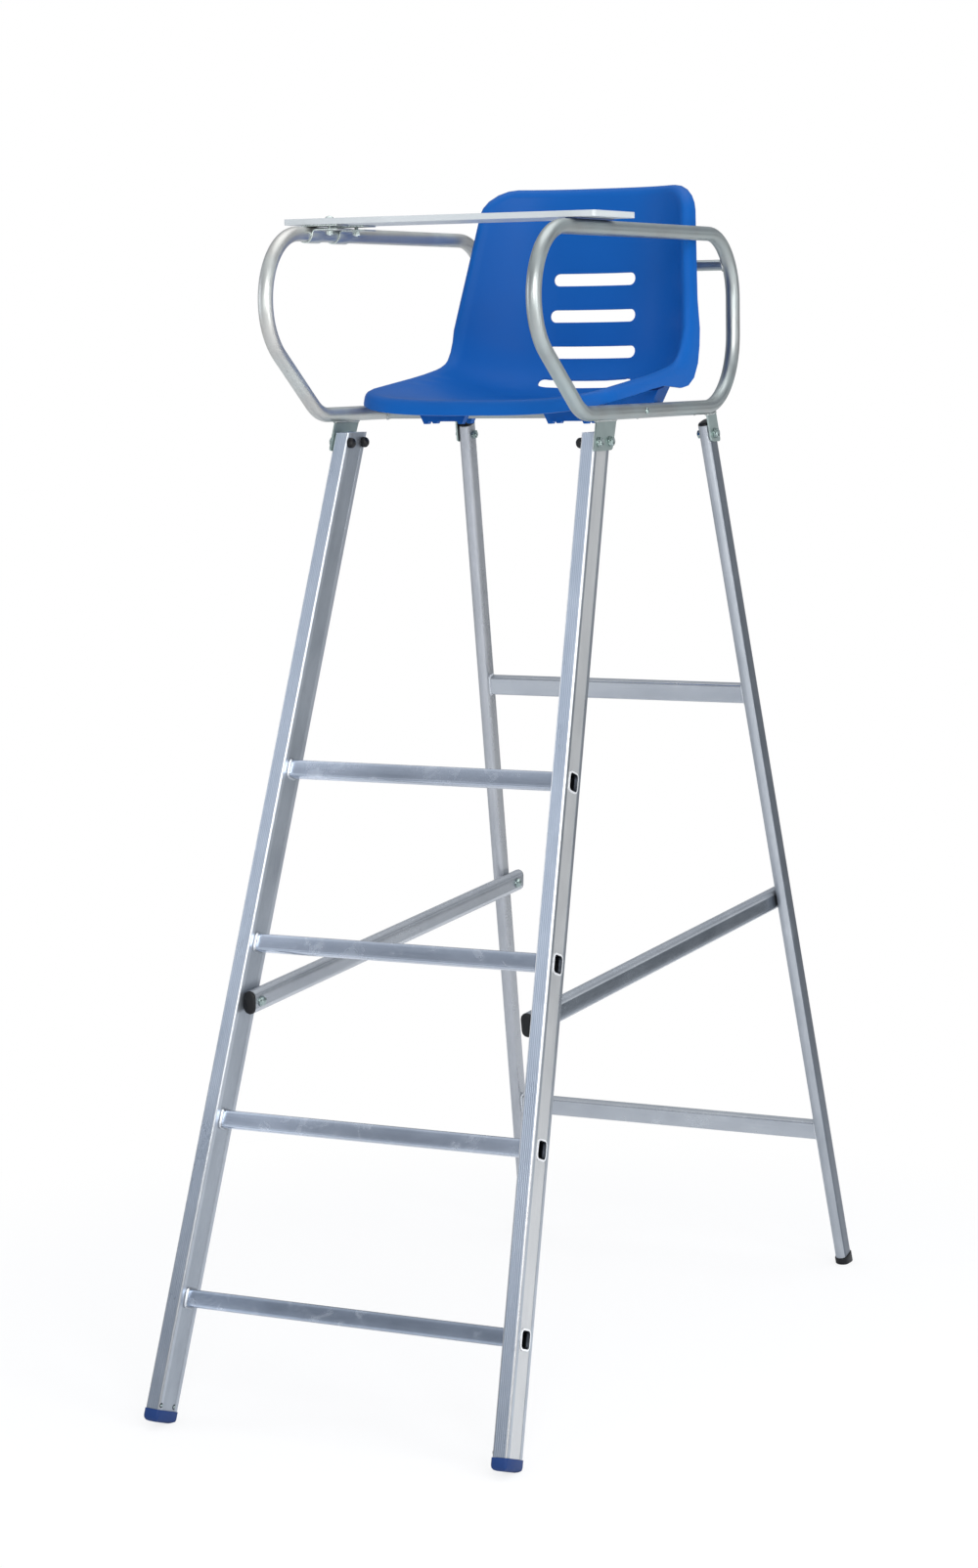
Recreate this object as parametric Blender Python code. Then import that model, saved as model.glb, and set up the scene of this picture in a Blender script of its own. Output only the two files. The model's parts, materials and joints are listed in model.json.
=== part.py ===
"""Badminton umpire chair.

A ladder leans back against a rear frame, two arm loops of bent tube sit on both, a moulded shell seat
clips to tubes between the loops, and a writing board lies across the arms and swings up round the left one.
Metres, Z up, the ladder is towards -Y, the floor is Z = 0 and the chair is symmetrical about X = 0.
"""

import math

import bmesh
import bpy
from mathutils import Matrix, Vector

# Clearances
GAP = 0.0003
PLAY = 0.0003
LEAN_PLAY = 0.0008

# Arm loops: bent round tube, one closed loop on each side of the seat
SEAT_WIDTH = 0.416
SEAT_TO_ARM = 0.021
ARM_SPACING = SEAT_WIDTH + 2 * SEAT_TO_ARM
ARM_TUBE = 0.0235
ARM_LOW_Z = 1.533
ARM_HIGH_Z = 1.8158
ARM_FRONT_Y = -0.3835
ARM_REAR_Y = 0.3800
ARM_BEND = 0.105
ARM_HEEL_BEND = 0.12
ARM_SLANT = 37.8
ARM_SLANT_BEND = 0.08

# Ladder
STILE_WIDTH = 0.024
STILE_DEPTH = 0.058
STILE_WALL = 0.002
STILE_RIB_PITCH = 0.0078
STILE_RIB_DEPTH = 0.0007
STILE_BAND = 0.037
STILE_BAND_DEPTH = 0.0006
STILE_CORNER = 0.003
LADDER_LEAN = 19.26
LADDER_SPREAD = 3.09
LADDER_HEAD_Y = -0.1338
STILE_HEAD_DROP = 0.0293
STILE_FOOT_CLEAR = 0.0239
RUNG_COUNT = 4
RUNG_PITCH = 0.280
RUNG_FIRST = 0.1735
RUNG_SIZE = 0.027
RUNG_WALL = 0.0018
RUNG_CORNER = 0.0052
RUNG_FLARE = 0.0028
RUNG_FLARE_THICK = 0.0016
FOOT_LIP = 0.0012
FOOT_DEPTH = 0.0195
FOOT_ROUND = 0.008
FOOT_PLUG = 0.034

# Rear frame
LEG_WIDTH = 0.020
LEG_DEPTH = 0.036
LEG_WALL = 0.0018
LEG_CORNER = 0.0094
LEG_LEAN = 14.50
LEG_SPREAD = 3.53
LEG_HEAD_Y = 0.2764
LEG_HEAD_DROP = 0.0154
LEG_FOOT_CLEAR = 0.0165
LEG_PLATE_SHIFT = 0.0036
CROSSBAR_HEIGHT = 0.033
CROSSBAR_DEPTH = 0.018
CROSSBAR_WALL = 0.0015
CROSSBAR_CORNER = 0.004
CROSSBAR_UPPER_Z = 1.0475
CROSSBAR_LOWER_Z = 0.2540
LEG_FOOT_LIP = 0.0018
PLUG_DEPTH = 0.022
PLUG_TO_BOLT = 0.003
LEG_CAP_DOME = 0.005
LEG_CAP_ROUND = 0.006

# Stays between ladder and rear frame
STAY_WIDTH = 0.020
STAY_DEPTH = 0.037
STAY_WALL = 0.0018
STAY_CORNER = 0.0094
STAY_OVER_RUNG = 0.1787
STAY_RISE = 0.053
STAY_FRONT_SET = 0.005
STAY_FRONT_OVER = 0.017
STAY_REAR_OVER = 0.025
STAY_FRONT_DOME = 0.006
STAY_FRONT_ROUND = 0.007
STAY_REAR_DOME = 0.0025
STAY_REAR_ROUND = 0.003

# Brackets under the arm loops
BRACKET_PLATE = 0.003
BRACKET_CORNER = 0.006
FRONT_BRACKET_LOW = 0.058
FRONT_BRACKET_WIDTH = 0.066
FRONT_BRACKET_FLARE = 0.005
FRONT_BOLT_DROP = 0.0448
FRONT_BOLT_SPREAD = 0.0405
REAR_BRACKET_LOW = 0.057
REAR_BRACKET_WIDTH = 0.035
REAR_BOLT_DROP = 0.0438
REAR_BRACKET_LEAD = 0.003

# Cross tubes between the arm loops
CROSS_TUBE = 0.020
CROSS_TUBE_WALL = 0.0015
CROSS_DROP = 0.0012
CROSS_FRONT_Y = -0.001
CROSS_REAR_Y = 0.227
BACK_TUBE = 0.018
BACK_TUBE_ANGLE = 32.0

# Seat shell
SHELL_THICK = 0.004
SHELL_LIFT = 0.0009
SEAT_FRONT_Y = -0.127
SEAT_LOW_Y = 0.2190
SEAT_FRONT_RISE = 0.0065
SEAT_ARC = 0.095
BACK_TILT = 8.0
BACK_TOP_RISE = 0.340
BACK_TOP_WIDTH = 0.355
SEAT_CORNER = 0.072
BACK_CORNER = 0.036
SEAT_HOLLOW = 3.2
RIM_FRONT_RISE = 0.012
RIM_ELBOW_Y = 0.212
RIM_ELBOW_RISE = 0.053
RIM_ELBOW_ROUND = 0.042
RIM_TOP_FORWARD = 0.061
RIM_REACH = 0.0155
RIM_DROP = 0.021
RIM_FRONT_DROP = 0.003
RIM_ELBOW_DROP = 0.027
RIM_ELBOW_SPAN = 0.060
SLOT_COUNT = 4
SLOT_LENGTH = 0.151
SLOT_GROWTH = 0.0065
SLOT_HEIGHT = 0.0212
SLOT_PITCH = 0.0615
SLOT_TOP_RISE = 0.1995
SLOT_CUT = 0.03
CLIP_INNER_X = 0.0775
CLIP_OUTER_X = 0.146
BACK_CLIP_INNER_X = 0.110
CLIP_WALL = 0.0115
BACK_CLIP_WALL = 0.007
CLIP_TIP = 0.0038
CLIP_TOOTH = 0.0042
CLIP_TOOTH_WIDTH = 0.006
CLIP_SLANT = 0.5
CLIP_MOUTH = 42.0

# Writing board
BOARD_THICK = 0.0095
BOARD_LEFT_OVER = 0.038
BOARD_RIGHT_OVER = 0.043
BOARD_LENGTH = ARM_SPACING + BOARD_LEFT_OVER + BOARD_RIGHT_OVER
BOARD_DEPTH = 0.150
BOARD_FRONT_Y = -0.258
BOARD_CORNER = 0.006
STRAP_THICK = 0.002
STRAP_WIDTH = 0.040
STRAP_REACH = 0.057
STRAP_TURN = 0.0068
STRAP_INSET = 0.002
STRAP_REAR_MARGIN = 0.020
STRAP_PITCH = BOARD_DEPTH - STRAP_INSET - STRAP_WIDTH - STRAP_REAR_MARGIN
BOARD_BOLT_REACH = 0.033
PAD_WIDTH = 0.022
PAD_MARGIN = 0.008
PAD_CORNER = 0.003

# Fasteners
BOLT_SHANK = 0.008
HEX_FLATS = 0.013
HEX_HEAD = 0.0048
NUT_THICK = 0.0062
BOLT_FLANGE = 0.0175
FLANGE_THICK = 0.0015
FRONT_BOLT_FLANGE = 0.0165
BOARD_SHANK = 0.006
BOARD_NUT = 0.010
CAP_NUT = 0.017
CAP_NUT_TALL = 0.010
DOME_HEAD = 0.014
DOME_TALL = 0.0038
CROSS_SCREW = 0.011
CROSS_SCREW_TALL = 0.003
CROSS_SCREW_SPARE = 0.012
BOLT_SPARE = 0.002

ARM_X = ARM_SPACING / 2
ARM_R = ARM_TUBE / 2
ARM_UNDER_Z = ARM_LOW_Z - ARM_R
CROSS_Z = ARM_LOW_Z - CROSS_DROP
SEAT_LOW_Z = CROSS_Z + CROSS_TUBE / 2 + GAP + SHELL_THICK + SHELL_LIFT
BOLT_R = BOLT_SHANK / 2
SIDES = (("left", -1), ("right", 1))
ALONG_X = Matrix(((0, 0, 1, 0), (1, 0, 0, 0), (0, 1, 0, 0), (0, 0, 0, 1)))
ALONG_Y = Matrix(((1, 0, 0, 0), (0, 0, -1, 0), (0, 1, 0, 0), (0, 0, 0, 1)))


def linear(channel):
    """One colour channel of a screen colour, turned into the linear value that materials take."""
    return channel / 12.92 if channel <= 0.04045 else ((channel + 0.055) / 1.055) ** 2.4


def material(name, screen_colour, roughness, metallic):
    made = bpy.data.materials.new(name)
    made.use_nodes = True
    shader = made.node_tree.nodes["Principled BSDF"]
    channels = [int(screen_colour[k : k + 2], 16) / 255 for k in (0, 2, 4)]
    shader.inputs["Base Color"].default_value = [linear(c) for c in channels] + [1]
    shader.inputs["Roughness"].default_value = roughness
    shader.inputs["Metallic"].default_value = metallic
    made.diffuse_color = [linear(c) for c in channels] + [1]
    return made


def circle(diameter, count=12):
    turns = [2 * math.pi * k / count for k in range(count)]
    return [(diameter / 2 * math.cos(a), diameter / 2 * math.sin(a)) for a in turns]


def hexagon(flats):
    """A hexagon with a point in the middle of each flat, so that it has as many points as a circle of 12."""
    reach = [flats / math.sqrt(3), flats / 2]
    turns = [math.pi * k / 6 for k in range(12)]
    return [(reach[k % 2] * math.cos(a), reach[k % 2] * math.sin(a)) for k, a in enumerate(turns)]


def rounded(width, depth, corner, steps=3):
    """A rectangle with rounded corners, counter-clockwise from the middle of its +X side."""
    points = []
    for k, (sx, sy) in enumerate(((1, 1), (-1, 1), (-1, -1), (1, -1))):
        for step in range(steps + 1):
            a = (k + step / steps) * math.pi / 2
            x = sx * (width / 2 - corner) + corner * math.cos(a)
            y = sy * (depth / 2 - corner) + corner * math.sin(a)
            points.append((x, y))
    return points


def square(size, corner):
    return rounded(size, size, corner, 2)


def band(bm, rings, place=Matrix(), ends="capped"):
    """Join a stack of rings (outline, height) with faces. A height is a number or a function of the two
    outline values. The ends are capped, or joined to each other so that the piece is hollow right through."""
    loops = []
    for outline, height in rings:
        heights = [height(x, y) if callable(height) else height for x, y in outline]
        loops.append([bm.verts.new(place @ Vector((x, y, h))) for (x, y), h in zip(outline, heights)])
    if ends == "capped":
        bm.faces.new(loops[0])
        bm.faces.new(loops[-1])
    else:
        loops.append(loops[0])
    for low, high in zip(loops, loops[1:]):
        for k in range(len(low)):
            j = (k + 1) % len(low)
            bm.faces.new((low[k], low[j], high[j], high[k]))


def item(name, bm, look=None, parent=None):
    """Turn a mesh into an object. Without a look it is a helper that only cuts or joins."""
    bmesh.ops.recalc_face_normals(bm, faces=bm.faces)
    mesh = bpy.data.meshes.new(name)
    bm.to_mesh(mesh)
    bm.free()
    obj = bpy.data.objects.new(name, mesh)
    bpy.context.scene.collection.objects.link(obj)
    obj.parent = parent
    if look is None:
        obj.hide_render = True
        obj.display_type = "WIRE"
        return obj
    mesh.materials.append(look)
    mesh.shade_smooth()
    mesh.set_sharp_from_angle(angle=math.radians(32))
    return obj


def fastener(name, look, shape, place, *sizes, parent=None):
    bm = bmesh.new()
    shape(bm, place, *sizes)
    return item(name, bm, look, parent)


def combine(obj, tool, operation="DIFFERENCE"):
    change = obj.modifiers.new(tool.name, "BOOLEAN")
    change.operation = operation
    change.solver = "EXACT"
    change.object = tool


def bar_frame(base, head, across=Vector((1, 0, 0))):
    """A frame at base: Z runs to head, X stays as near as it can to the given direction."""
    axis = (head - base).normalized()
    side = (across - axis * across.dot(axis)).normalized()
    frame = Matrix.Identity(4)
    for column, vector in enumerate((side, axis.cross(side), axis, base)):
        for row in range(3):
            frame[row][column] = vector[row]
    return frame


def rise_to(frame, z):
    """How far along the frame's axis each point of an outline has to go to reach a level plane."""
    return lambda x, y: (z - frame[2][3] - frame[2][0] * x - frame[2][1] * y) / frame[2][2]


def facing(side):
    """Turns a fastener, made along Z, so that its head points outward on one side of the chair."""
    return ALONG_X if side > 0 else Matrix.Rotation(math.pi, 4, "Z") @ ALONG_X


def bolt(bm, place, shank, flange=0.0, head=HEX_HEAD, flats=HEX_FLATS, diameter=BOLT_SHANK):
    """A hex bolt that sits on Z = 0, with a flange under its head if one is given."""
    rings = [(circle(diameter), -shank), (circle(diameter), 0)]
    if flange:
        rings += [(circle(flange), 0), (circle(flange), FLANGE_THICK)]
    lift = FLANGE_THICK if flange else 0
    rings += [(hexagon(flats), lift), (hexagon(flats), lift + head * 0.82)]
    rings.append((circle(flats * 0.86), lift + head))
    band(bm, rings, place)


def dome_bolt(bm, place, shank, width=DOME_HEAD, tall=DOME_TALL, diameter=BOLT_SHANK):
    rings = [(circle(diameter), -shank), (circle(diameter), 0), (circle(width), 0)]
    for share in (0.45, 0.8, 1.0):
        rings.append((circle(width * math.sqrt(1.04 - share**2)), tall * share))
    band(bm, rings, place)


def nut(bm, place, flats=HEX_FLATS, diameter=BOLT_SHANK):
    outline = hexagon(flats)
    hole = circle(diameter + 2 * PLAY)
    band(bm, [(outline, 0), (outline, NUT_THICK), (hole, NUT_THICK), (hole, 0)], place, "joined")


def plug(bm, place, collar, spigot, depth, rounds):
    """An end plug: a spigot that goes down into the tube, a collar over its end and a rounded top."""
    rings = [(spigot, -depth), (spigot, GAP), (collar(0), GAP)]
    rings += [(collar(inset), rise) for inset, rise in rounds]
    band(bm, rings, place)


def dome_steps(tall, round_size, steps=2):
    """Inset and height of the rings that round the top of a plug."""
    turns = [math.pi / 2 * k / steps for k in range(steps + 1)]
    return [(round_size * (1 - math.cos(a)), GAP + tall * (0.35 + 0.65 * math.sin(a))) for a in turns]


def oval(width, depth, corner):
    """Collar outlines of a rounded bar, each one set in by a given amount."""

    def inset(amount):
        return rounded(width - 2 * amount, depth - 2 * amount, max(corner - amount, 3 * GAP))

    return inset


def drill(bm, place, length, diameter=BOLT_SHANK):
    """A cutter for a bolt hole, along the bolt's axis and half of it on each side."""
    band(bm, [(circle(diameter + 2 * PLAY), -length / 2), (circle(diameter + 2 * PLAY), length / 2)], place)


for old in list(bpy.data.objects):
    bpy.data.objects.remove(old)

ALUMINIUM = material("aluminium_extrusion", "C3C9D2", 0.36, 1.0)
RUNG_ALUMINIUM = material("aluminium_rung", "CBD0D8", 0.32, 1.0)
STEEL = material("satin_zinc_steel", "A9AFAE", 0.38, 1.0)
FASTENER = material("zinc_fastener", "B9BDC0", 0.30, 1.0)
SEAT_BLUE = material("blue_polypropylene", "1C5BB0", 0.38, 0.0)
FOOT_BLUE = material("blue_foot_plastic", "2A468F", 0.50, 0.0)
BLACK = material("black_plastic", "17181A", 0.48, 0.0)
BOARD_WHITE = material("white_board_laminate", "E3E6EB", 0.34, 0.0)
PAD_DARK = material("dark_rest_strip", "2B2D30", 0.75, 0.0)


# Frames of the leaning bars. Each one goes through the point under its arm tube where its bracket stands.
def leaning_frames(lean, spread, head_y, width, plate_shift):
    frames = {}
    for name, side in SIDES:
        plate_x = ARM_X + plate_shift
        slope = math.tan(math.radians(spread))
        offset = (width / 2 + GAP + BRACKET_PLATE / 2) * math.sqrt(1 + slope**2)
        head = Vector((side * (plate_x - offset), head_y, ARM_UNDER_Z))
        run = Vector((-side * slope, math.tan(math.radians(lean)), 1))
        base = head - run * ARM_UNDER_Z
        frames[name] = bar_frame(base, head)
    return frames


STILES = leaning_frames(LADDER_LEAN, LADDER_SPREAD, LADDER_HEAD_Y, STILE_WIDTH, 0)
LEGS = leaning_frames(-LEG_LEAN, LEG_SPREAD, LEG_HEAD_Y, LEG_WIDTH, LEG_PLATE_SHIFT)


def cut_holes(obj, name, holes, parent=None):
    """Cut round holes into an object: each hole is a place, a length and a diameter."""
    bm = bmesh.new()
    for place, length, diameter in holes:
        drill(bm, place, length, diameter)
    combine(obj, item(name, bm, parent=parent))


# Arm loops
def loop_path():
    """Centre line of an arm loop in the Y-Z plane, bends in short steps, from the front of the top run."""
    slant = math.radians(ARM_SLANT)
    front = Vector((ARM_FRONT_Y + ARM_BEND, ARM_HIGH_Z - ARM_BEND))
    slant_start = front - ARM_BEND * Vector((math.sin(slant), math.cos(slant)))
    knee_y = slant_start.x + (slant_start.y - ARM_LOW_Z) / math.tan(slant)
    knee = Vector((knee_y + ARM_SLANT_BEND * math.tan(slant / 2), ARM_LOW_Z + ARM_SLANT_BEND))
    heel = Vector((ARM_REAR_Y - ARM_HEEL_BEND, ARM_LOW_Z + ARM_HEEL_BEND))
    rear = Vector((ARM_REAR_Y - ARM_BEND, ARM_HIGH_Z - ARM_BEND))
    bends = [
        (front, ARM_BEND, 90, 270 - ARM_SLANT, 13),
        (knee, ARM_SLANT_BEND, 270 - ARM_SLANT, 270, 5),
        (heel, ARM_HEEL_BEND, 270, 360, 9),
        (rear, ARM_BEND, 0, 90, 9),
    ]
    path = []
    for middle, radius, start, stop, steps in bends:
        for k in range(steps + 1):
            a = math.radians(start + (stop - start) * k / steps)
            path.append(middle + radius * Vector((math.cos(a), math.sin(a))))
    return path, heel, rear


PATH, HEEL, REAR_BEND = loop_path()


def arm_underside(y):
    """Lowest height of the arm tube's lower run at a given Y, which rises in the bend at the heel."""
    past = max(y - HEEL.x, 0)
    if past == 0:
        return ARM_UNDER_Z
    return HEEL.y - math.sqrt((ARM_HEEL_BEND + ARM_R) ** 2 - past**2)


def arm_loop(bm, x):
    rings = []
    for k, point in enumerate(PATH):
        ahead = (PATH[(k + 1) % len(PATH)] - point).normalized()
        behind = (point - PATH[k - 1]).normalized()
        along = (ahead + behind).normalized()
        level = Vector((-along.y, along.x)) / math.sqrt((1 + ahead.dot(behind)) / 2)
        rings.append([(x + a, point.x + b * level.x, point.y + b * level.y) for a, b in circle(ARM_TUBE)])
    loops = [[bm.verts.new(p) for p in points] for points in rings]
    for low, high in zip(loops, loops[1:] + loops[:1]):
        for k in range(len(low)):
            j = (k + 1) % len(low)
            bm.faces.new((low[k], low[j], high[j], high[k]))


for name, side in SIDES:
    bm = bmesh.new()
    arm_loop(bm, side * ARM_X)
    loop = item(f"arm_loop_{name}", bm, STEEL)
    seat = Matrix.Translation((side * (ARM_X + ARM_R), CROSS_FRONT_Y, ARM_LOW_Z)) @ facing(side)
    raised = seat @ Matrix.Translation((0, 0, GAP))
    shank = ARM_TUBE + CROSS_SCREW_SPARE
    sizes = (shank, CROSS_SCREW, CROSS_SCREW_TALL, BOARD_SHANK)
    fastener(f"crossbar_screw_{name}", FASTENER, dome_bolt, raised, *sizes)
    cut_holes(loop, f"arm_loop_{name}_hole", [(seat, 2.6 * ARM_TUBE, BOARD_SHANK)])


# Cross tubes, their ends shaped to the arm tubes
def saddle(side, distance):
    """End of a cross tube at the arm tube. The distance is measured from the arm tube's centre line."""
    reach = ARM_R + GAP

    def height(a, b):
        return side * (ARM_X - math.sqrt(max(reach**2 - distance(a, b) ** 2, 0)))

    return height


def cross_tube(name, middle_y, middle_z, diameter, distance):
    bm = bmesh.new()
    outer = circle(diameter, 16)
    inner = circle(diameter - 2 * CROSS_TUBE_WALL, 16)
    left = saddle(-1, distance)
    right = saddle(1, distance)
    place = Matrix.Translation((0, middle_y, middle_z)) @ ALONG_X
    band(bm, [(outer, left), (outer, right), (inner, right), (inner, left)], place, "joined")
    item(name, bm, STEEL)


angle = math.radians(BACK_TUBE_ANGLE)
BACK_TUBE_Y = REAR_BEND.x + ARM_BEND * math.cos(angle)
BACK_TUBE_Z = REAR_BEND.y + ARM_BEND * math.sin(angle)
cross_tube("seat_crossbar_front", CROSS_FRONT_Y, CROSS_Z, CROSS_TUBE, lambda a, b: b - CROSS_DROP)
cross_tube("seat_crossbar_rear", CROSS_REAR_Y, CROSS_Z, CROSS_TUBE, lambda a, b: b - CROSS_DROP)
cross_tube(
    "back_crossbar",
    BACK_TUBE_Y,
    BACK_TUBE_Z,
    BACK_TUBE,
    lambda a, b: (Vector((BACK_TUBE_Y + a, BACK_TUBE_Z + b)) - REAR_BEND).length - ARM_BEND,
)


# Ladder
def stile_outline():
    """Ribbed front, a shallow band along each side, plain back. X across, Y towards the back."""
    half_w = STILE_WIDTH / 2
    half_d = STILE_DEPTH / 2
    cut = STILE_CORNER
    dip = STILE_BAND_DEPTH
    edge = STILE_BAND / 2
    side = [(half_w, -half_d + cut), (half_w, -edge), (half_w - dip, -edge + dip)]
    side += [(half_w - dip, edge - dip), (half_w, edge), (half_w, half_d - cut)]
    back = [(half_w - cut * 0.3, half_d - cut * 0.3), (half_w - cut, half_d)]
    right = side + back
    left = [(-x, y) for x, y in reversed(right)]
    front = [(-half_w + cut * 0.3, -half_d + cut * 0.3)]
    groove = STILE_RIB_PITCH * 0.22
    for middle in (-STILE_RIB_PITCH, 0, STILE_RIB_PITCH):
        front += [(middle - groove, -half_d), (middle - groove / 2, -half_d + STILE_RIB_DEPTH)]
        front += [(middle + groove / 2, -half_d + STILE_RIB_DEPTH), (middle + groove, -half_d)]
    front.append((half_w - cut * 0.3, -half_d + cut * 0.3))
    return right + left + front


def shrink(outline, width, depth, wall):
    """The bore of a tube: its outline made smaller by the wall on all sides."""
    return [(x * (1 - 2 * wall / width), y * (1 - 2 * wall / depth)) for x, y in outline]


STILE_END = {name: STILE_FOOT_CLEAR / STILES[name][2][2] for name, side in SIDES}
STILE_OUTER = stile_outline()
STILE_INNER = shrink(STILE_OUTER, STILE_WIDTH, STILE_DEPTH, STILE_WALL)
RUNG_HEIGHTS = [RUNG_FIRST + RUNG_PITCH * k for k in range(RUNG_COUNT)]


def rung_frame(name, up):
    """Frame across the ladder at one rung: first two axes are the rung's section, the third runs along X."""
    frame = STILES[name]
    centre = frame @ Vector((0, 0, STILE_END[name] + up))
    back = frame.col[1].to_3d()
    across = Vector((1, 0, 0))
    lift = across.cross(back)
    place = Matrix.Identity(4)
    for column, vector in enumerate((back, lift, across, Vector((0, centre.y, centre.z)))):
        for row in range(3):
            place[row][column] = vector[row]
    return place, centre.x


def beside(frame, middle_x, offset, side, lift):
    """X of a plane parallel to a leaning bar's side face, for a piece that runs straight across the chair."""
    normal = frame.col[0].to_3d() * side
    tilt = normal.dot(lift)

    def height(a, b):
        return middle_x + side * (offset - b * tilt) / abs(normal.x)

    return height


def rung(up):
    place, _ = rung_frame("left", up)
    lift = place.col[1].to_3d()
    half = STILE_WIDTH / 2
    bead = RUNG_FLARE_THICK
    body = square(RUNG_SIZE, RUNG_CORNER)
    wide = square(RUNG_SIZE + 2 * RUNG_FLARE, RUNG_CORNER + RUNG_FLARE)
    bore = square(RUNG_SIZE - 2 * RUNG_WALL, RUNG_CORNER - RUNG_WALL)
    band_dip = half - STILE_BAND_DEPTH
    steps = [
        (wide, band_dip + GAP + bead),
        (wide, band_dip + GAP),
        (body, band_dip + GAP),
        (body, -band_dip - GAP),
        (wide, -band_dip - GAP),
        (wide, -band_dip - GAP - bead),
        (body, -band_dip - GAP - bead - RUNG_FLARE),
    ]
    hollow = [(body, band_dip + GAP + bead), (bore, band_dip - RUNG_FLARE)]

    def at(name, side, offset):
        return beside(STILES[name], rung_frame(name, up)[1], offset, side, lift)

    rings = [(outline, at("left", -1, offset)) for outline, offset in steps]
    rings += [(outline, at("right", 1, offset)) for outline, offset in reversed(steps)]
    rings += [(outline, at("right", 1, offset)) for outline, offset in hollow]
    rings += [(outline, at("left", -1, offset)) for outline, offset in reversed(hollow)]
    bm = bmesh.new()
    band(bm, rings, place, "joined")
    return bm


for k, up in enumerate(RUNG_HEIGHTS):
    item(f"ladder_rung_{k + 1}", rung(up), RUNG_ALUMINIUM)


def stile_place(name, y, z):
    """A place on the stile's middle plane, at a depth and at a height over the floor."""
    frame = STILES[name]
    return frame @ Matrix.Translation((0, y, rise_to(frame, z)(0, y)))


def leg_place(name, z):
    return LEGS[name] @ Matrix.Translation((0, 0, rise_to(LEGS[name], z)(0, 0)))


def stay_frame(name, side):
    """Frame of a stay at its front bolt, over the second rung, and the distance to its rear bolt."""
    front_z = rung_frame(name, RUNG_HEIGHTS[1])[0][2][3] + STAY_OVER_RUNG
    front = stile_place(name, STAY_FRONT_SET, front_z)
    rear = leg_place(name, front_z + STAY_RISE)
    inward = -side * (STAY_WIDTH / 2 + LEAN_PLAY)
    start = front @ Vector((inward - side * STILE_WIDTH / 2, 0, 0))
    stop = rear @ Vector((inward - side * LEG_WIDTH / 2, 0, 0))
    across = (front.col[0].to_3d() + rear.col[0].to_3d()).normalized()
    return bar_frame(start, stop, across), (stop - start).length


FRONT_BOLT_Z = ARM_LOW_Z - FRONT_BOLT_DROP
REAR_BOLT_Z = ARM_LOW_Z - REAR_BOLT_DROP
STAYS = {name: stay_frame(name, side) for name, side in SIDES}
ENDS = (("front", -1), ("rear", 1))


def cap_nut(bm, place):
    """A plastic nut with a closed, domed end, bored to take the bolt."""
    bore = circle(BOLT_SHANK + 2 * PLAY)
    rings = [(bore, CAP_NUT_TALL * 0.75), (bore, 0)]
    rings += [(circle(CAP_NUT), 0), (circle(CAP_NUT), CAP_NUT_TALL * 0.4)]
    for share in (0.5, 0.85, 1.0):
        width = CAP_NUT * (0.2 + 0.8 * math.sqrt(1.0 - share**2))
        rings.append((circle(width), CAP_NUT_TALL * (0.4 + 0.6 * share)))
    band(bm, rings, place)


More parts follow.
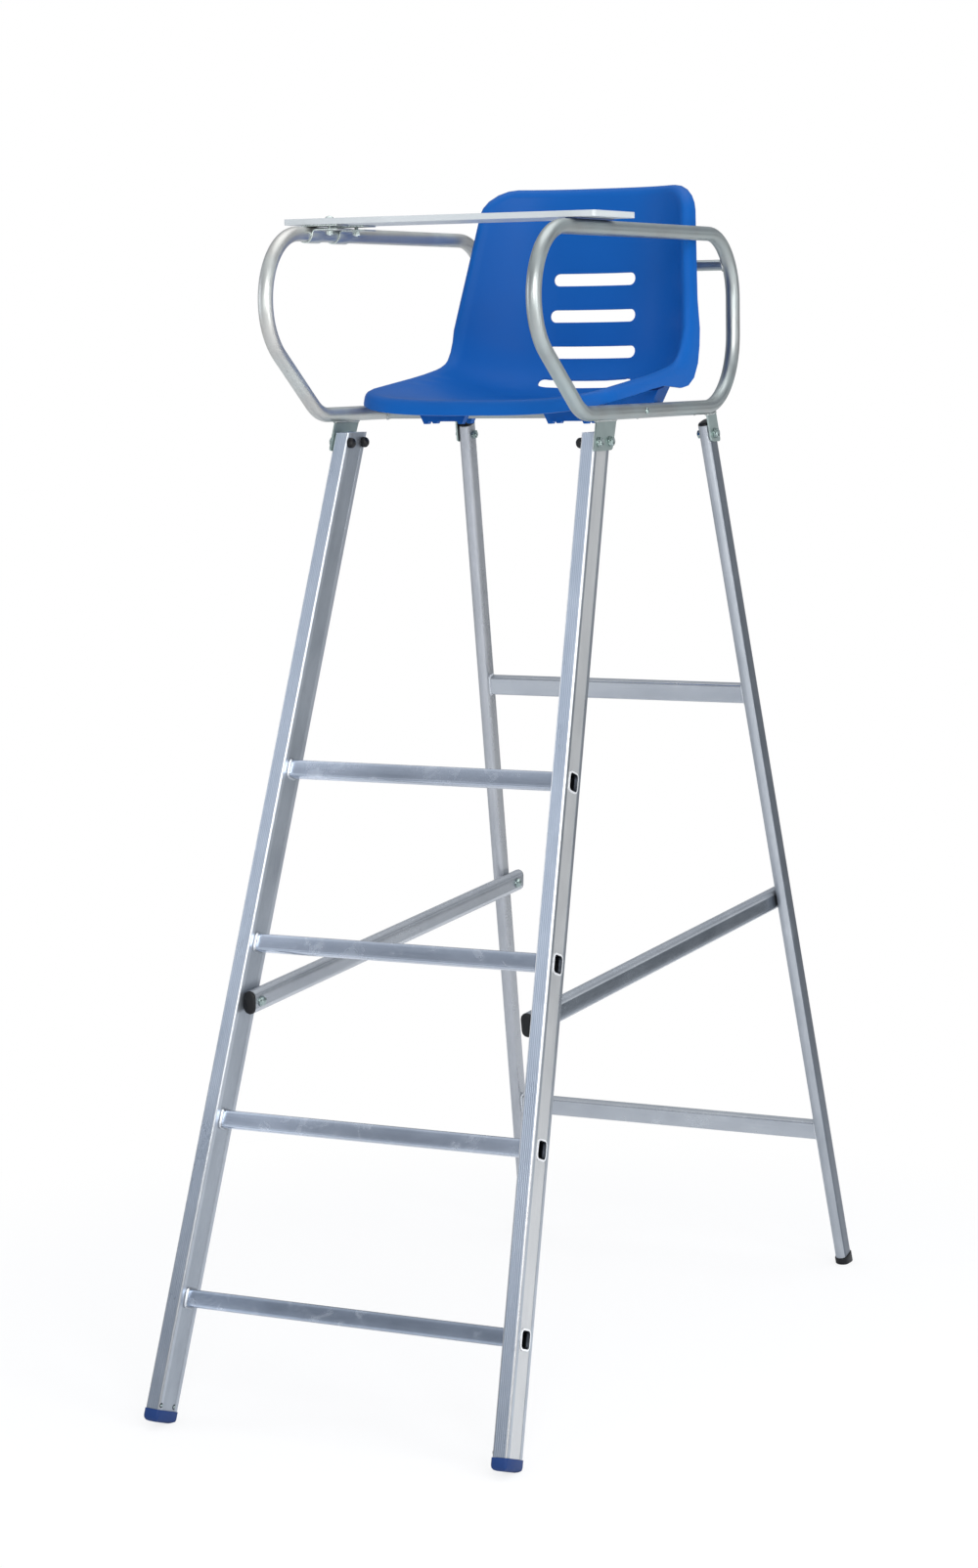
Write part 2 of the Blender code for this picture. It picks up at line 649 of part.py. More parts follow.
for name, side in SIDES:
    frame = STILES[name]
    half = STILE_WIDTH / 2
    low = STILE_END[name]
    head = rise_to(frame, ARM_LOW_Z - STILE_HEAD_DROP)
    bm = bmesh.new()
    rings = [(STILE_OUTER, low), (STILE_OUTER, head), (STILE_INNER, head), (STILE_INNER, low)]
    band(bm, rings, frame, "joined")
    stile = item(f"ladder_stile_{name}", bm, ALUMINIUM)

    # Square holes for the rungs
    bm = bmesh.new()
    hole = square(RUNG_SIZE + 2 * PLAY, RUNG_CORNER + PLAY)
    for up in RUNG_HEIGHTS:
        place, middle_x = rung_frame(name, up)
        band(bm, [(hole, middle_x - STILE_WIDTH), (hole, middle_x + STILE_WIDTH)], place)
    combine(stile, item(f"ladder_stile_{name}_rung_holes", bm))

    # Foot with its plug, trimmed level where it stands on the floor
    collar = oval(STILE_WIDTH + 2 * FOOT_LIP, STILE_DEPTH + 2 * FOOT_LIP, STILE_CORNER + FOOT_LIP)
    bore_w = STILE_WIDTH - 2 * STILE_WALL - 4 * PLAY - 2 * STILE_BAND_DEPTH
    bore_d = STILE_DEPTH - 2 * STILE_WALL - 4 * PLAY - 2 * STILE_RIB_DEPTH
    spigot = rounded(bore_w, bore_d, STILE_CORNER)
    down = frame @ Matrix.Translation((0, 0, low)) @ Matrix.Rotation(math.pi, 4, "X")
    turns = [math.pi / 2 * k / 3 for k in range(4)]
    rounds = []
    for a in turns:
        rounds.append((FOOT_ROUND * (1 - math.cos(a)), FOOT_DEPTH - FOOT_ROUND * (1 - math.sin(a))))
    bm = bmesh.new()
    plug(bm, down, collar, spigot, FOOT_PLUG, rounds)
    geom = bm.verts[:] + bm.edges[:] + bm.faces[:]
    level = {"plane_co": (0, 0, 0), "plane_no": (0, 0, -1)}
    floor = bmesh.ops.bisect_plane(bm, geom=geom, clear_outer=True, **level)
    edges = [part for part in floor["geom_cut"] if isinstance(part, bmesh.types.BMEdge)]
    bmesh.ops.contextual_create(bm, geom=edges)
    item(f"ladder_foot_{name}", bm, FOOT_BLUE)

    # Bolts of the front bracket, right through the stile into cap nuts
    holes = []
    for end, way in ENDS:
        middle = stile_place(name, way * FRONT_BOLT_SPREAD / 2, FRONT_BOLT_Z)
        out = middle @ facing(side) @ Matrix.Translation((0, 0, half + BRACKET_PLATE + 2 * GAP))
        inside = middle @ facing(-side) @ Matrix.Translation((0, 0, half + GAP))
        shank = STILE_WIDTH + BRACKET_PLATE + CAP_NUT_TALL * 0.6
        fastener(f"front_bracket_bolt_{name}_{end}", FASTENER, bolt, out, shank, FRONT_BOLT_FLANGE)
        fastener(f"front_bracket_cap_nut_{name}_{end}", BLACK, cap_nut, inside)
        holes.append((middle @ facing(side), 1.4 * STILE_WIDTH, BOLT_SHANK))

    # Hole for the stay's front bolt, in the inner wall only
    stay, length = STAYS[name]
    to_wall = side * (STAY_WIDTH / 2 + LEAN_PLAY)
    inner_wall = stay @ Matrix.Translation((to_wall, 0, 0)) @ facing(side)
    holes.append((inner_wall, STILE_WIDTH, BOLT_SHANK))
    cut_holes(stile, f"ladder_stile_{name}_bolt_holes", holes)

    # Rear leg with its two plugs
    leg = LEGS[name]
    leg_outer = rounded(LEG_WIDTH, LEG_DEPTH, LEG_CORNER)
    leg_inner = rounded(LEG_WIDTH - 2 * LEG_WALL, LEG_DEPTH - 2 * LEG_WALL, LEG_CORNER - LEG_WALL)
    snug = 2 * LEG_WALL + 2 * PLAY
    leg_spigot = rounded(LEG_WIDTH - snug, LEG_DEPTH - snug, LEG_CORNER - LEG_WALL - PLAY)
    leg_low = LEG_FOOT_CLEAR / leg[2][2]
    leg_high = (ARM_UNDER_Z - LEG_HEAD_DROP) / leg[2][2]
    bm = bmesh.new()
    rings = [(leg_outer, leg_low), (leg_outer, leg_high), (leg_inner, leg_high), (leg_inner, leg_low)]
    band(bm, rings, leg, "joined")
    leg_object = item(f"rear_leg_{name}", bm, ALUMINIUM)
    leg_collar = oval(LEG_WIDTH, LEG_DEPTH, LEG_CORNER)
    bm = bmesh.new()
    over_bolt = leg_high - rise_to(leg, REAR_BOLT_Z)(0, 0) - BOLT_R - PLUG_TO_BOLT
    head = leg @ Matrix.Translation((0, 0, leg_high))
    plug(bm, head, leg_collar, leg_spigot, over_bolt, dome_steps(LEG_CAP_DOME, LEG_CAP_ROUND))
    item(f"rear_leg_cap_{name}", bm, BLACK)
    down = leg @ Matrix.Translation((0, 0, leg_low)) @ Matrix.Rotation(math.pi, 4, "X")
    base = rise_to(down, 0)
    bm = bmesh.new()
    rings = [(leg_spigot, -PLUG_DEPTH), (leg_spigot, GAP), (leg_collar(-LEG_FOOT_LIP), GAP)]
    rings += [(leg_collar(-LEG_FOOT_LIP), lambda x, y: base(x, y) - LEG_FOOT_LIP), (leg_collar(0), base)]
    band(bm, rings, down)
    item(f"rear_foot_{name}", bm, BLACK)

    # Rear bracket bolt right through the leg, and the hole for the stay's rear bolt in the inner wall
    middle = leg_place(name, REAR_BOLT_Z)
    seat = LEG_WIDTH / 2 + BRACKET_PLATE + 2 * GAP
    out = middle @ facing(side)
    shank = seat + LEG_WIDTH / 2 + NUT_THICK + BOLT_SPARE
    raised = out @ Matrix.Translation((0, 0, seat))
    fastener(f"rear_bracket_bolt_{name}", FASTENER, bolt, raised, shank, BOLT_FLANGE)
    inside = middle @ facing(-side) @ Matrix.Translation((0, 0, LEG_WIDTH / 2 + GAP))
    fastener(f"rear_bracket_nut_{name}", FASTENER, nut, inside)
    holes = [(out, 1.6 * LEG_WIDTH, BOLT_SHANK)]
    inner_wall = stay @ Matrix.Translation((to_wall, 0, length)) @ facing(side)
    holes.append((inner_wall, LEG_WIDTH, BOLT_SHANK))
    cut_holes(leg_object, f"rear_leg_{name}_holes", holes)

    # Stay with its plugs and flanged bolts
    stay_outer = rounded(STAY_WIDTH, STAY_DEPTH, STAY_CORNER)
    stay_inner = rounded(STAY_WIDTH - 2 * STAY_WALL, STAY_DEPTH - 2 * STAY_WALL, STAY_CORNER - STAY_WALL)
    snug = 2 * STAY_WALL + 2 * PLAY
    stay_spigot = rounded(STAY_WIDTH - snug, STAY_DEPTH - snug, STAY_CORNER - STAY_WALL - PLAY)
    stay_collar = oval(STAY_WIDTH, STAY_DEPTH, STAY_CORNER)
    start = -STAY_FRONT_OVER
    stop = length + STAY_REAR_OVER
    bm = bmesh.new()
    rings = [(stay_outer, start), (stay_outer, stop), (stay_inner, stop), (stay_inner, start)]
    band(bm, rings, stay, "joined")
    bar = item(f"stay_bar_{name}", bm, ALUMINIUM)
    spigot_deep = STAY_FRONT_OVER - BOLT_R - PLUG_TO_BOLT
    bm = bmesh.new()
    turned = stay @ Matrix.Translation((0, 0, start)) @ Matrix.Rotation(math.pi, 4, "X")
    plug(bm, turned, stay_collar, stay_spigot, spigot_deep, dome_steps(STAY_FRONT_DOME, STAY_FRONT_ROUND))
    item(f"stay_plug_front_{name}", bm, BLACK)
    bm = bmesh.new()
    far_end = stay @ Matrix.Translation((0, 0, stop))
    plug(bm, far_end, stay_collar, stay_spigot, spigot_deep, dome_steps(STAY_REAR_DOME, STAY_REAR_ROUND))
    item(f"stay_plug_rear_{name}", bm, BLACK)
    holes = []
    for end, at, wall in (("front", 0, STILE_WALL + STILE_BAND_DEPTH), ("rear", length, LEG_WALL)):
        middle = stay @ Matrix.Translation((0, 0, at))
        inside = middle @ facing(-side) @ Matrix.Translation((0, 0, STAY_WIDTH / 2 + GAP))
        shank = STAY_WIDTH + LEAN_PLAY + wall + NUT_THICK
        fastener(f"stay_bolt_{name}_{end}", FASTENER, bolt, inside, shank, BOLT_FLANGE)
        holes.append((middle @ facing(side), 1.6 * STAY_WIDTH, BOLT_SHANK))
    cut_holes(bar, f"stay_bar_{name}_holes", holes)

    # Bracket plates, welded under the arm tube and bolted to the outer faces
    def plate(frame, points, inner_x):
        """A plate on a bar's outer side. Its corners are a depth on the bar and a height over the floor."""
        outline = [(y, rise_to(frame, z)(side * inner_x, y)) for y, z in points]
        outer_x = inner_x + BRACKET_PLATE
        bm = bmesh.new()
        band(bm, [(outline, side * inner_x), (outline, side * outer_x)], frame @ ALONG_X)
        corners = [edge for edge in bm.edges if abs(edge.calc_length() - BRACKET_PLATE) < 1e-6]
        foot_z = min(z for y, z in points) + BRACKET_CORNER * 0.7
        low_corners = [edge for edge in corners if edge.verts[0].co.z < foot_z]
        round_off = {"offset_type": "OFFSET", "affect": "EDGES", "segments": 3, "profile": 0.5}
        bmesh.ops.bevel(bm, geom=low_corners, offset=BRACKET_CORNER, **round_off)
        return bm

    half_width = FRONT_BRACKET_WIDTH / 2
    bottom = ARM_LOW_Z - FRONT_BRACKET_LOW
    top = ARM_UNDER_Z - GAP
    points = [(-half_width, bottom), (half_width, bottom)]
    points += [(half_width + FRONT_BRACKET_FLARE, top), (-half_width, top)]
    bracket = item(f"front_bracket_{name}", plate(frame, points, half + GAP), STEEL)
    holes = []
    for way in (-1, 1):
        middle = stile_place(name, way * FRONT_BOLT_SPREAD / 2, FRONT_BOLT_Z)
        holes.append((middle @ facing(side), 1.8 * STILE_WIDTH, BOLT_SHANK))
    cut_holes(bracket, f"front_bracket_{name}_holes", holes)

    half_width = REAR_BRACKET_WIDTH / 2
    bottom = ARM_LOW_Z - REAR_BRACKET_LOW
    points = [(-half_width, bottom), (half_width, bottom)]
    for y in (half_width, 0, -half_width):
        points.append((y, arm_underside(LEG_HEAD_Y + y * leg[1][1] - REAR_BRACKET_LEAD) - GAP))
    bracket = item(f"rear_bracket_{name}", plate(leg, points, LEG_WIDTH / 2 + GAP), STEEL)
    holes = [(leg_place(name, REAR_BOLT_Z) @ facing(side), 2.2 * LEG_WIDTH, BOLT_SHANK)]
    cut_holes(bracket, f"rear_bracket_{name}_holes", holes)


# Rear crossbars, cut to the legs' inner faces
def crossbar(name, z):
    leg = LEGS["left"]
    centre = leg_place("left", z).translation
    back = leg.col[1].to_3d()
    across = Vector((1, 0, 0))
    lift = across.cross(back)
    place = Matrix.Identity(4)
    for column, vector in enumerate((back, lift, across, Vector((0, centre.y, centre.z)))):
        for row in range(3):
            place[row][column] = vector[row]
    outer = rounded(CROSSBAR_DEPTH, CROSSBAR_HEIGHT, CROSSBAR_CORNER)
    walls = 2 * CROSSBAR_WALL
    inner = rounded(CROSSBAR_DEPTH - walls, CROSSBAR_HEIGHT - walls, CROSSBAR_CORNER - CROSSBAR_WALL)
    offset = -(LEG_WIDTH / 2 + GAP)
    left = beside(leg, centre.x, offset, -1, lift)
    right = beside(LEGS["right"], -centre.x, offset, 1, lift)
    bm = bmesh.new()
    band(bm, [(outer, left), (outer, right), (inner, right), (inner, left)], place, "joined")
    item(name, bm, ALUMINIUM)


crossbar("rear_crossbar_upper", CROSSBAR_UPPER_Z)
crossbar("rear_crossbar_lower", CROSSBAR_LOWER_Z)


# Seat shell
PAN = SEAT_LOW_Y - SEAT_FRONT_Y
TURN = math.radians(90 - BACK_TILT)
ARC_LENGTH = SEAT_ARC * TURN
ARC_END = Vector((SEAT_LOW_Y, SEAT_LOW_Z)) + SEAT_ARC * Vector((math.sin(TURN), 1 - math.cos(TURN)))
BACK_LENGTH = (SEAT_LOW_Z + BACK_TOP_RISE - ARC_END.y) / math.sin(TURN)
SEAT_LENGTH = PAN + ARC_LENGTH + BACK_LENGTH


def seat_centre(d):
    """Centre line of the seat's upper face, at a distance from its front edge, in the Y-Z plane."""
    if d <= PAN:
        return Vector((SEAT_FRONT_Y + d, SEAT_LOW_Z + SEAT_FRONT_RISE * (1 - d / PAN) ** 1.5))
    if d <= PAN + ARC_LENGTH:
        a = (d - PAN) / SEAT_ARC
        return Vector((SEAT_LOW_Y + SEAT_ARC * math.sin(a), SEAT_LOW_Z + SEAT_ARC * (1 - math.cos(a))))
    return ARC_END + (d - PAN - ARC_LENGTH) * Vector((math.cos(TURN), math.sin(TURN)))


def seat_along(d):
    """Direction of the centre line, from the front edge to the top of the back."""
    return (seat_centre(min(d + 0.001, SEAT_LENGTH)) - seat_centre(max(d - 0.001, 0))).normalized()


def rim_front():
    return seat_centre(0) + Vector((0, RIM_FRONT_RISE))


def past_elbow(d):
    """How far along the rim a point is past the elbow between pan and wing, less than 0 on the pan."""
    elbow = Vector((RIM_ELBOW_Y, SEAT_LOW_Z + RIM_ELBOW_RISE))
    half_way = PAN + ARC_LENGTH / 2
    if d < half_way:
        return (d / half_way - 1) * (rim_front() - elbow).length
    top = seat_centre(SEAT_LENGTH) - Vector((RIM_TOP_FORWARD, 0))
    return (d - half_way) / (SEAT_LENGTH - half_way) * (top - elbow).length


def seat_rim(d):
    """Fold of the rim at the same distance, in the Y-Z plane: two lines that meet in a soft elbow."""
    elbow = Vector((RIM_ELBOW_Y, SEAT_LOW_Z + RIM_ELBOW_RISE))
    forward = rim_front() - elbow
    upward = seat_centre(SEAT_LENGTH) - Vector((RIM_TOP_FORWARD, 0)) - elbow
    past = past_elbow(d)
    soft = math.sqrt(past**2 + RIM_ELBOW_ROUND**2)
    return elbow + forward.normalized() * (soft - past) / 2 + upward.normalized() * (soft + past) / 2


def seat_half(d):
    """Half of the seat's width between the folds of its rim, before the corners are rounded."""
    share = max(d - PAN - ARC_LENGTH, 0) / BACK_LENGTH
    return (SEAT_WIDTH + (BACK_TOP_WIDTH - SEAT_WIDTH) * share) / 2


def corner_cut(distance, radius):
    if distance >= radius:
        return 0
    return radius - math.sqrt(radius**2 - (radius - distance) ** 2)


def seat_point(x, d):
    bend = min(abs(x) / seat_half(d), 1) ** SEAT_HOLLOW
    point = seat_centre(d) + (seat_rim(d) - seat_centre(d)) * bend
    return Vector((x, point.x, point.y))


def shell_distance(x, value, axis, low, high):
    """Distance from the front at which the seat's upper face has a given Y (axis 1) or Z (axis 2)."""
    for _ in range(30):
        middle = (low + high) / 2
        if seat_point(x, middle)[axis] < value:
            low = middle
        else:
            high = middle
    return low


def seat_shell():
    rows = [SEAT_CORNER * share for share in (0, 0.05, 0.2, 0.45, 0.72, 1)]
    rows += [SEAT_CORNER + (PAN - SEAT_CORNER) * k / 5 for k in range(1, 6)]
    rows += [PAN + ARC_LENGTH * k / 6 for k in range(1, 7)]
    top = BACK_LENGTH - BACK_CORNER
    rows += [PAN + ARC_LENGTH + top * k / 4 for k in range(1, 5)]
    rows += [SEAT_LENGTH - BACK_CORNER * share for share in (0.72, 0.45, 0.2, 0.05, 0)]
    half_steps = 8
    shares = [1 - (1 - k / half_steps) ** 1.4 for k in range(half_steps + 1)]
    columns = [-s for s in reversed(shares[1:])] + shares
    bm = bmesh.new()
    grid = []
    flat = {}
    for d in rows:
        half = seat_half(d) - corner_cut(d, SEAT_CORNER) - corner_cut(SEAT_LENGTH - d, BACK_CORNER)
        line = []
        for share in columns:
            vert = bm.verts.new(seat_point(half * share, d))
            flat[vert] = (half * share, d)
            line.append(vert)
        grid.append(line)
    for low, high in zip(grid, grid[1:]):
        for k in range(len(columns) - 1):
            bm.faces.new((low[k], low[k + 1], high[k + 1], high[k]))

    # The rim: the border is turned over, outward and away from the sitter
    border = grid[0][:-1] + [line[-1] for line in grid[:-1]]
    border += list(reversed(grid[-1]))[:-1] + [line[0] for line in reversed(grid[1:])]
    count = len(border)
    reaches = []
    for k, vert in enumerate(border):
        x, d = flat[vert]
        run = Vector(flat[border[(k + 1) % count]]) - Vector(flat[border[k - 1]])
        outward = Vector((run.y, -run.x)).normalized()
        along = seat_along(d)
        out = Vector((outward.x, outward.y * along.x, outward.y * along.y))
        extra = RIM_ELBOW_DROP * math.exp(-((past_elbow(d) / RIM_ELBOW_SPAN) ** 2)) * abs(outward.x)
        extra += RIM_FRONT_DROP * max(-outward.y, 0) ** 2
        away = Vector((0, along.y, -along.x)) * (RIM_DROP + extra)
        reaches.append((out, away))
    previous = border
    for out_share, away_share in ((0.26, 0.03), (0.52, 0.12), (0.74, 0.29), (0.89, 0.52), (1.0, 1.0)):
        fresh = []
        for vert, (out, away) in zip(border, reaches):
            fresh.append(bm.verts.new(vert.co + out * RIM_REACH * out_share + away * away_share))
        for k in range(count):
            j = (k + 1) % count
            bm.faces.new((previous[j], previous[k], fresh[k], fresh[j]))
        previous = fresh
    return bm


def clip(bm, side, middle_y, middle_z, diameter, wall, away, inner_x, tooth_tall=0.0):
    """A block moulded on the shell that snaps over a cross tube. Away points from the shell to the tube.
    Its ends are slanted, and the front clips have a tooth at each one."""
    radius = diameter / 2 + PLAY
    half = radius + wall
    mouth = math.radians(CLIP_MOUTH)
    cross = Vector((away.y, -away.x))
    centre = Vector((middle_y, middle_z))
    turns = [mouth + (2 * math.pi - 2 * mouth) * k / 10 for k in range(11)]
    bore = [(radius * math.sin(a), radius * math.cos(a)) for a in turns]
    lip = radius * math.sin(mouth) + CLIP_TIP * 0.8
    span = CLIP_OUTER_X - inner_x
    steps = [(0, tooth_tall), (CLIP_TOOTH_WIDTH, tooth_tall), (1.4 * CLIP_TOOTH_WIDTH, 0)]
    steps += [(span - step, tooth) for step, tooth in reversed(steps)]
    # The shell curves towards the sitter at the outer end, so only the inner end has to follow its wall
    slants = [-CLIP_SLANT] + [0] * (len(steps) - 1)

    def grow(y, z):
        """How far below its tip a point of the clip lies, which is what a slanted end leans out by."""
        return radius + CLIP_TIP + tooth_tall - (Vector((y, z)) - centre).dot(away)

    def in_shell(x, share):
        """A point of the clip inside the shell's wall."""
        if away.y < 0:
            y = middle_y + share * half * cross.x
            d = shell_distance(x, y, 1, 0, PAN + ARC_LENGTH)
            return (y, seat_point(x, d).z - SHELL_THICK / 2)
        z = middle_z + share * half * cross.y
        d = shell_distance(x, z, 2, PAN + ARC_LENGTH / 2, SEAT_LENGTH)
        return (seat_point(x, d).y + SHELL_THICK / 2, z)

    rings = []
    for (step, tooth), slant in zip(steps, slants):
        x = side * (inner_x + step)
        tip = radius + CLIP_TIP + tooth
        profile = []
        for share in (-1, -0.5, 0, 0.5, 1):
            point = in_shell(x, share)
            for k in range(3):
                point = in_shell(x + side * slant * grow(*point), share)
            profile.append(point)
        outside = [(half, tip), (lip, tip)] + bore + [(-lip, tip), (-half, tip)]
        for a, b in outside:
            point = centre + cross * a + away * b
            profile.append((point.x, point.y))
        rings.append((profile, x))

    # The ends get wider towards the shell
    rings[0] = (rings[0][0], lambda y, z: side * (inner_x - CLIP_SLANT * grow(y, z)))
    rings[-1] = (rings[-1][0], lambda y, z: side * (CLIP_OUTER_X + CLIP_SLANT * grow(y, z)))
    band(bm, rings, ALONG_X)


shell = item("seat_shell", seat_shell(), SEAT_BLUE)
thick = shell.modifiers.new("thickness", "SOLIDIFY")
thick.thickness = SHELL_THICK
thick.offset = -1
thick.use_even_offset = True

bm = bmesh.new()
slot_start = shell_distance(0, SEAT_LOW_Z + SLOT_TOP_RISE, 2, PAN + ARC_LENGTH / 2, SEAT_LENGTH)
for k in range(SLOT_COUNT):
    slot = rounded(SLOT_LENGTH + k * SLOT_GROWTH, SLOT_HEIGHT, SLOT_HEIGHT * 0.476, 4)
    d = slot_start - k * SLOT_PITCH
    centre = seat_point(0, d)
    along = seat_along(d)
    place = bar_frame(centre, centre + Vector((0, along.y, -along.x)))
    band(bm, [(slot, -SLOT_CUT), (slot, SLOT_CUT)], place)
combine(shell, item("seat_shell_slots", bm))

bm = bmesh.new()
for name, side in SIDES:
    down = Vector((0, -1))
    clip(bm, side, CROSS_FRONT_Y, CROSS_Z, CROSS_TUBE, CLIP_WALL, down, CLIP_INNER_X, CLIP_TOOTH)
    clip(bm, side, CROSS_REAR_Y, CROSS_Z, CROSS_TUBE, CLIP_WALL, down, CLIP_INNER_X)
    clip(bm, side, BACK_TUBE_Y, BACK_TUBE_Z, BACK_TUBE, BACK_CLIP_WALL, Vector((1, 0)), BACK_CLIP_INNER_X)
combine(shell, item("seat_shell_clips", bm), "UNION")


# Writing board, on a hinge whose axis is the left arm tube. These pieces are made about that axis.
hinge = bpy.data.objects.new("writing_board_hinge", None)
hinge.location = (-ARM_X, BOARD_FRONT_Y + BOARD_DEPTH / 2, ARM_HIGH_Z)
bpy.context.scene.collection.objects.link(hinge)
STRAP_R = ARM_R + PLAY + STRAP_THICK / 2
BOARD_LOW = STRAP_R + STRAP_THICK / 2 + GAP
BOARD_MIDDLE = BOARD_LENGTH / 2 - BOARD_LEFT_OVER
strap_y = -BOARD_DEPTH / 2 + STRAP_INSET + STRAP_WIDTH / 2
STRAP_PLACES = (("front", strap_y), ("rear", strap_y + STRAP_PITCH))


def strap(y):
    """A strap that lies under the board, goes round the arm tube and comes back under itself. X-Z plane."""
    centre = [(STRAP_REACH, STRAP_R, 0, 1)]
    for k in range(15):
        a = math.radians(90 + 270 * k / 14)
        centre.append((STRAP_R * math.cos(a), STRAP_R * math.sin(a), math.cos(a), math.sin(a)))
    for k in range(1, 6):
        a = math.radians(180 - 90 * k / 5)
        x = STRAP_R + STRAP_TURN + STRAP_TURN * math.cos(a)
        centre.append((x, STRAP_TURN * math.sin(a), -math.cos(a), -math.sin(a)))
    centre.append((STRAP_REACH, STRAP_TURN, 0, -1))
    half = STRAP_THICK / 2
    outside = [(x + half * nx, z + half * nz) for x, z, nx, nz in centre]
    inside = [(x - half * nx, z - half * nz) for x, z, nx, nz in reversed(centre)]
    outline = outside + inside
    bm = bmesh.new()
    band(bm, [(outline, -y - STRAP_WIDTH / 2), (outline, -y + STRAP_WIDTH / 2)], ALONG_Y)
    return bm


bm = bmesh.new()
board_outline = rounded(BOARD_LENGTH, BOARD_DEPTH, BOARD_CORNER, 4)
middle = Matrix.Translation((BOARD_MIDDLE, 0, 0))
band(bm, [(board_outline, BOARD_LOW), (board_outline, BOARD_LOW + BOARD_THICK)], middle)
board = item("writing_board", bm, BOARD_WHITE, hinge)
holes = []
STRAP_UNDER = STRAP_TURN - STRAP_THICK / 2
for name, y in STRAP_PLACES:
    spot = Matrix.Translation((BOARD_BOLT_REACH, y, 0))
    shank = BOARD_LOW + BOARD_THICK - STRAP_UNDER + NUT_THICK + BOLT_SPARE
    raised = spot @ Matrix.Translation((0, 0, BOARD_LOW + BOARD_THICK + GAP))
    sizes = (shank, DOME_HEAD, DOME_TALL, BOARD_SHANK)
    fastener(f"board_bolt_{name}", FASTENER, dome_bolt, raised, *sizes, parent=hinge)
    below = spot @ Matrix.Translation((0, 0, STRAP_UNDER - GAP - NUT_THICK))
    fastener(f"board_nut_{name}", FASTENER, nut, below, BOARD_NUT, BOARD_SHANK, parent=hinge)
    hole = (spot @ Matrix.Translation((0, 0, BOARD_LOW)), 2.5 * (BOARD_LOW + BOARD_THICK), BOARD_SHANK)
    holes.append(hole)
    piece = item(f"board_strap_{name}", strap(y), STEEL, hinge)
    cut_holes(piece, f"board_strap_{name}_hole", [hole], hinge)
cut_holes(board, "writing_board_holes", holes, hinge)

bm = bmesh.new()
pad_low = ARM_R + GAP
pad_outline = rounded(PAD_WIDTH, BOARD_DEPTH - 2 * PAD_MARGIN, PAD_CORNER)
band(bm, [(pad_outline, pad_low), (pad_outline, BOARD_LOW - GAP)], Matrix.Translation((ARM_SPACING, 0, 0)))
item("board_rest_strip", bm, PAD_DARK, hinge)
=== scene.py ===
# %% [markdown]
# # Badminton umpire chair
# This lesson dresses the solid model of a tall umpire chair: an aluminium ladder, a rear frame with
# two stays, arm loops of bent steel tube, a moulded shell seat and a small writing board.
# The solids come first, because every piece below sits on them and moves with them.

# %% Load the solid model
import json
import math

import bmesh
import bpy
from mathutils import Matrix, Vector

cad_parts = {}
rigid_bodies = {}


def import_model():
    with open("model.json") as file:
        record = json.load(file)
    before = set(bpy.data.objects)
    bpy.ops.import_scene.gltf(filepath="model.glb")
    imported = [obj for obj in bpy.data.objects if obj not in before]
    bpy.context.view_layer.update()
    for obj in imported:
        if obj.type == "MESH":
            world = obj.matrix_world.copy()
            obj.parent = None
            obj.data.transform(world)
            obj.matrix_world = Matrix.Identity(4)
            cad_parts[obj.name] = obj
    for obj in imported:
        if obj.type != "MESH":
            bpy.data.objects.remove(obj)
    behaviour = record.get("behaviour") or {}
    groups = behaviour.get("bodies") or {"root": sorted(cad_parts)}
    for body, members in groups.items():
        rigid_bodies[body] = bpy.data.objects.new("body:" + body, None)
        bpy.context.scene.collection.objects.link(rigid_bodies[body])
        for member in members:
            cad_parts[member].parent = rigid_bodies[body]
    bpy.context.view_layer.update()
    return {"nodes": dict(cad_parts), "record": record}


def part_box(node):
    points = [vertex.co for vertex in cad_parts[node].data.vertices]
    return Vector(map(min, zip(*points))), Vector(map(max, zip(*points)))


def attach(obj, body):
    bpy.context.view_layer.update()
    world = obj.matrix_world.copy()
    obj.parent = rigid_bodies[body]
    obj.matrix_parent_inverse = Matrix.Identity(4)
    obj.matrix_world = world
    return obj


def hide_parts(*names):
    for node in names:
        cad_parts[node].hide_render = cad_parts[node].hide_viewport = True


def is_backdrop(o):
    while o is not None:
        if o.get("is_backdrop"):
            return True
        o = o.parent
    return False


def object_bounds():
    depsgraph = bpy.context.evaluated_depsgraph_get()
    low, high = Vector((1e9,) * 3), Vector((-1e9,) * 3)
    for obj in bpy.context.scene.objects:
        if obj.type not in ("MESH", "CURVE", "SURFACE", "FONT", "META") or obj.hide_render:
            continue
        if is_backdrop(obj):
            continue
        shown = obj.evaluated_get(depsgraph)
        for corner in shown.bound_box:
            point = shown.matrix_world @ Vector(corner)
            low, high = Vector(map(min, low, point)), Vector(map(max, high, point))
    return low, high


for old in list(bpy.data.objects):
    bpy.data.objects.remove(old)

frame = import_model()
slot_of = {part["node"]: part["material_slot"] for part in frame["record"]["subparts"]}
body_of = {node: body for body, nodes in frame["record"]["behaviour"]["bodies"].items() for node in nodes}

# %% [markdown]
# ## Camera
# The picture was taken from the front right, a little under the height of the writing board, with a
# long lens, so upright lines stay nearly parallel. The camera stands where those lines say it stood.
# A Track To constraint could aim it, but a matrix of its right, up and back directions also holds the roll.

# %% Camera
CAMERA_PLACE = Vector((2.5436, -5.1715, 1.6424))
CAMERA_YAW, CAMERA_PITCH, CAMERA_ROLL = 0.4646, 0.1232, -0.0138
CAMERA_LENS, CAMERA_SENSOR = 81.71, 36

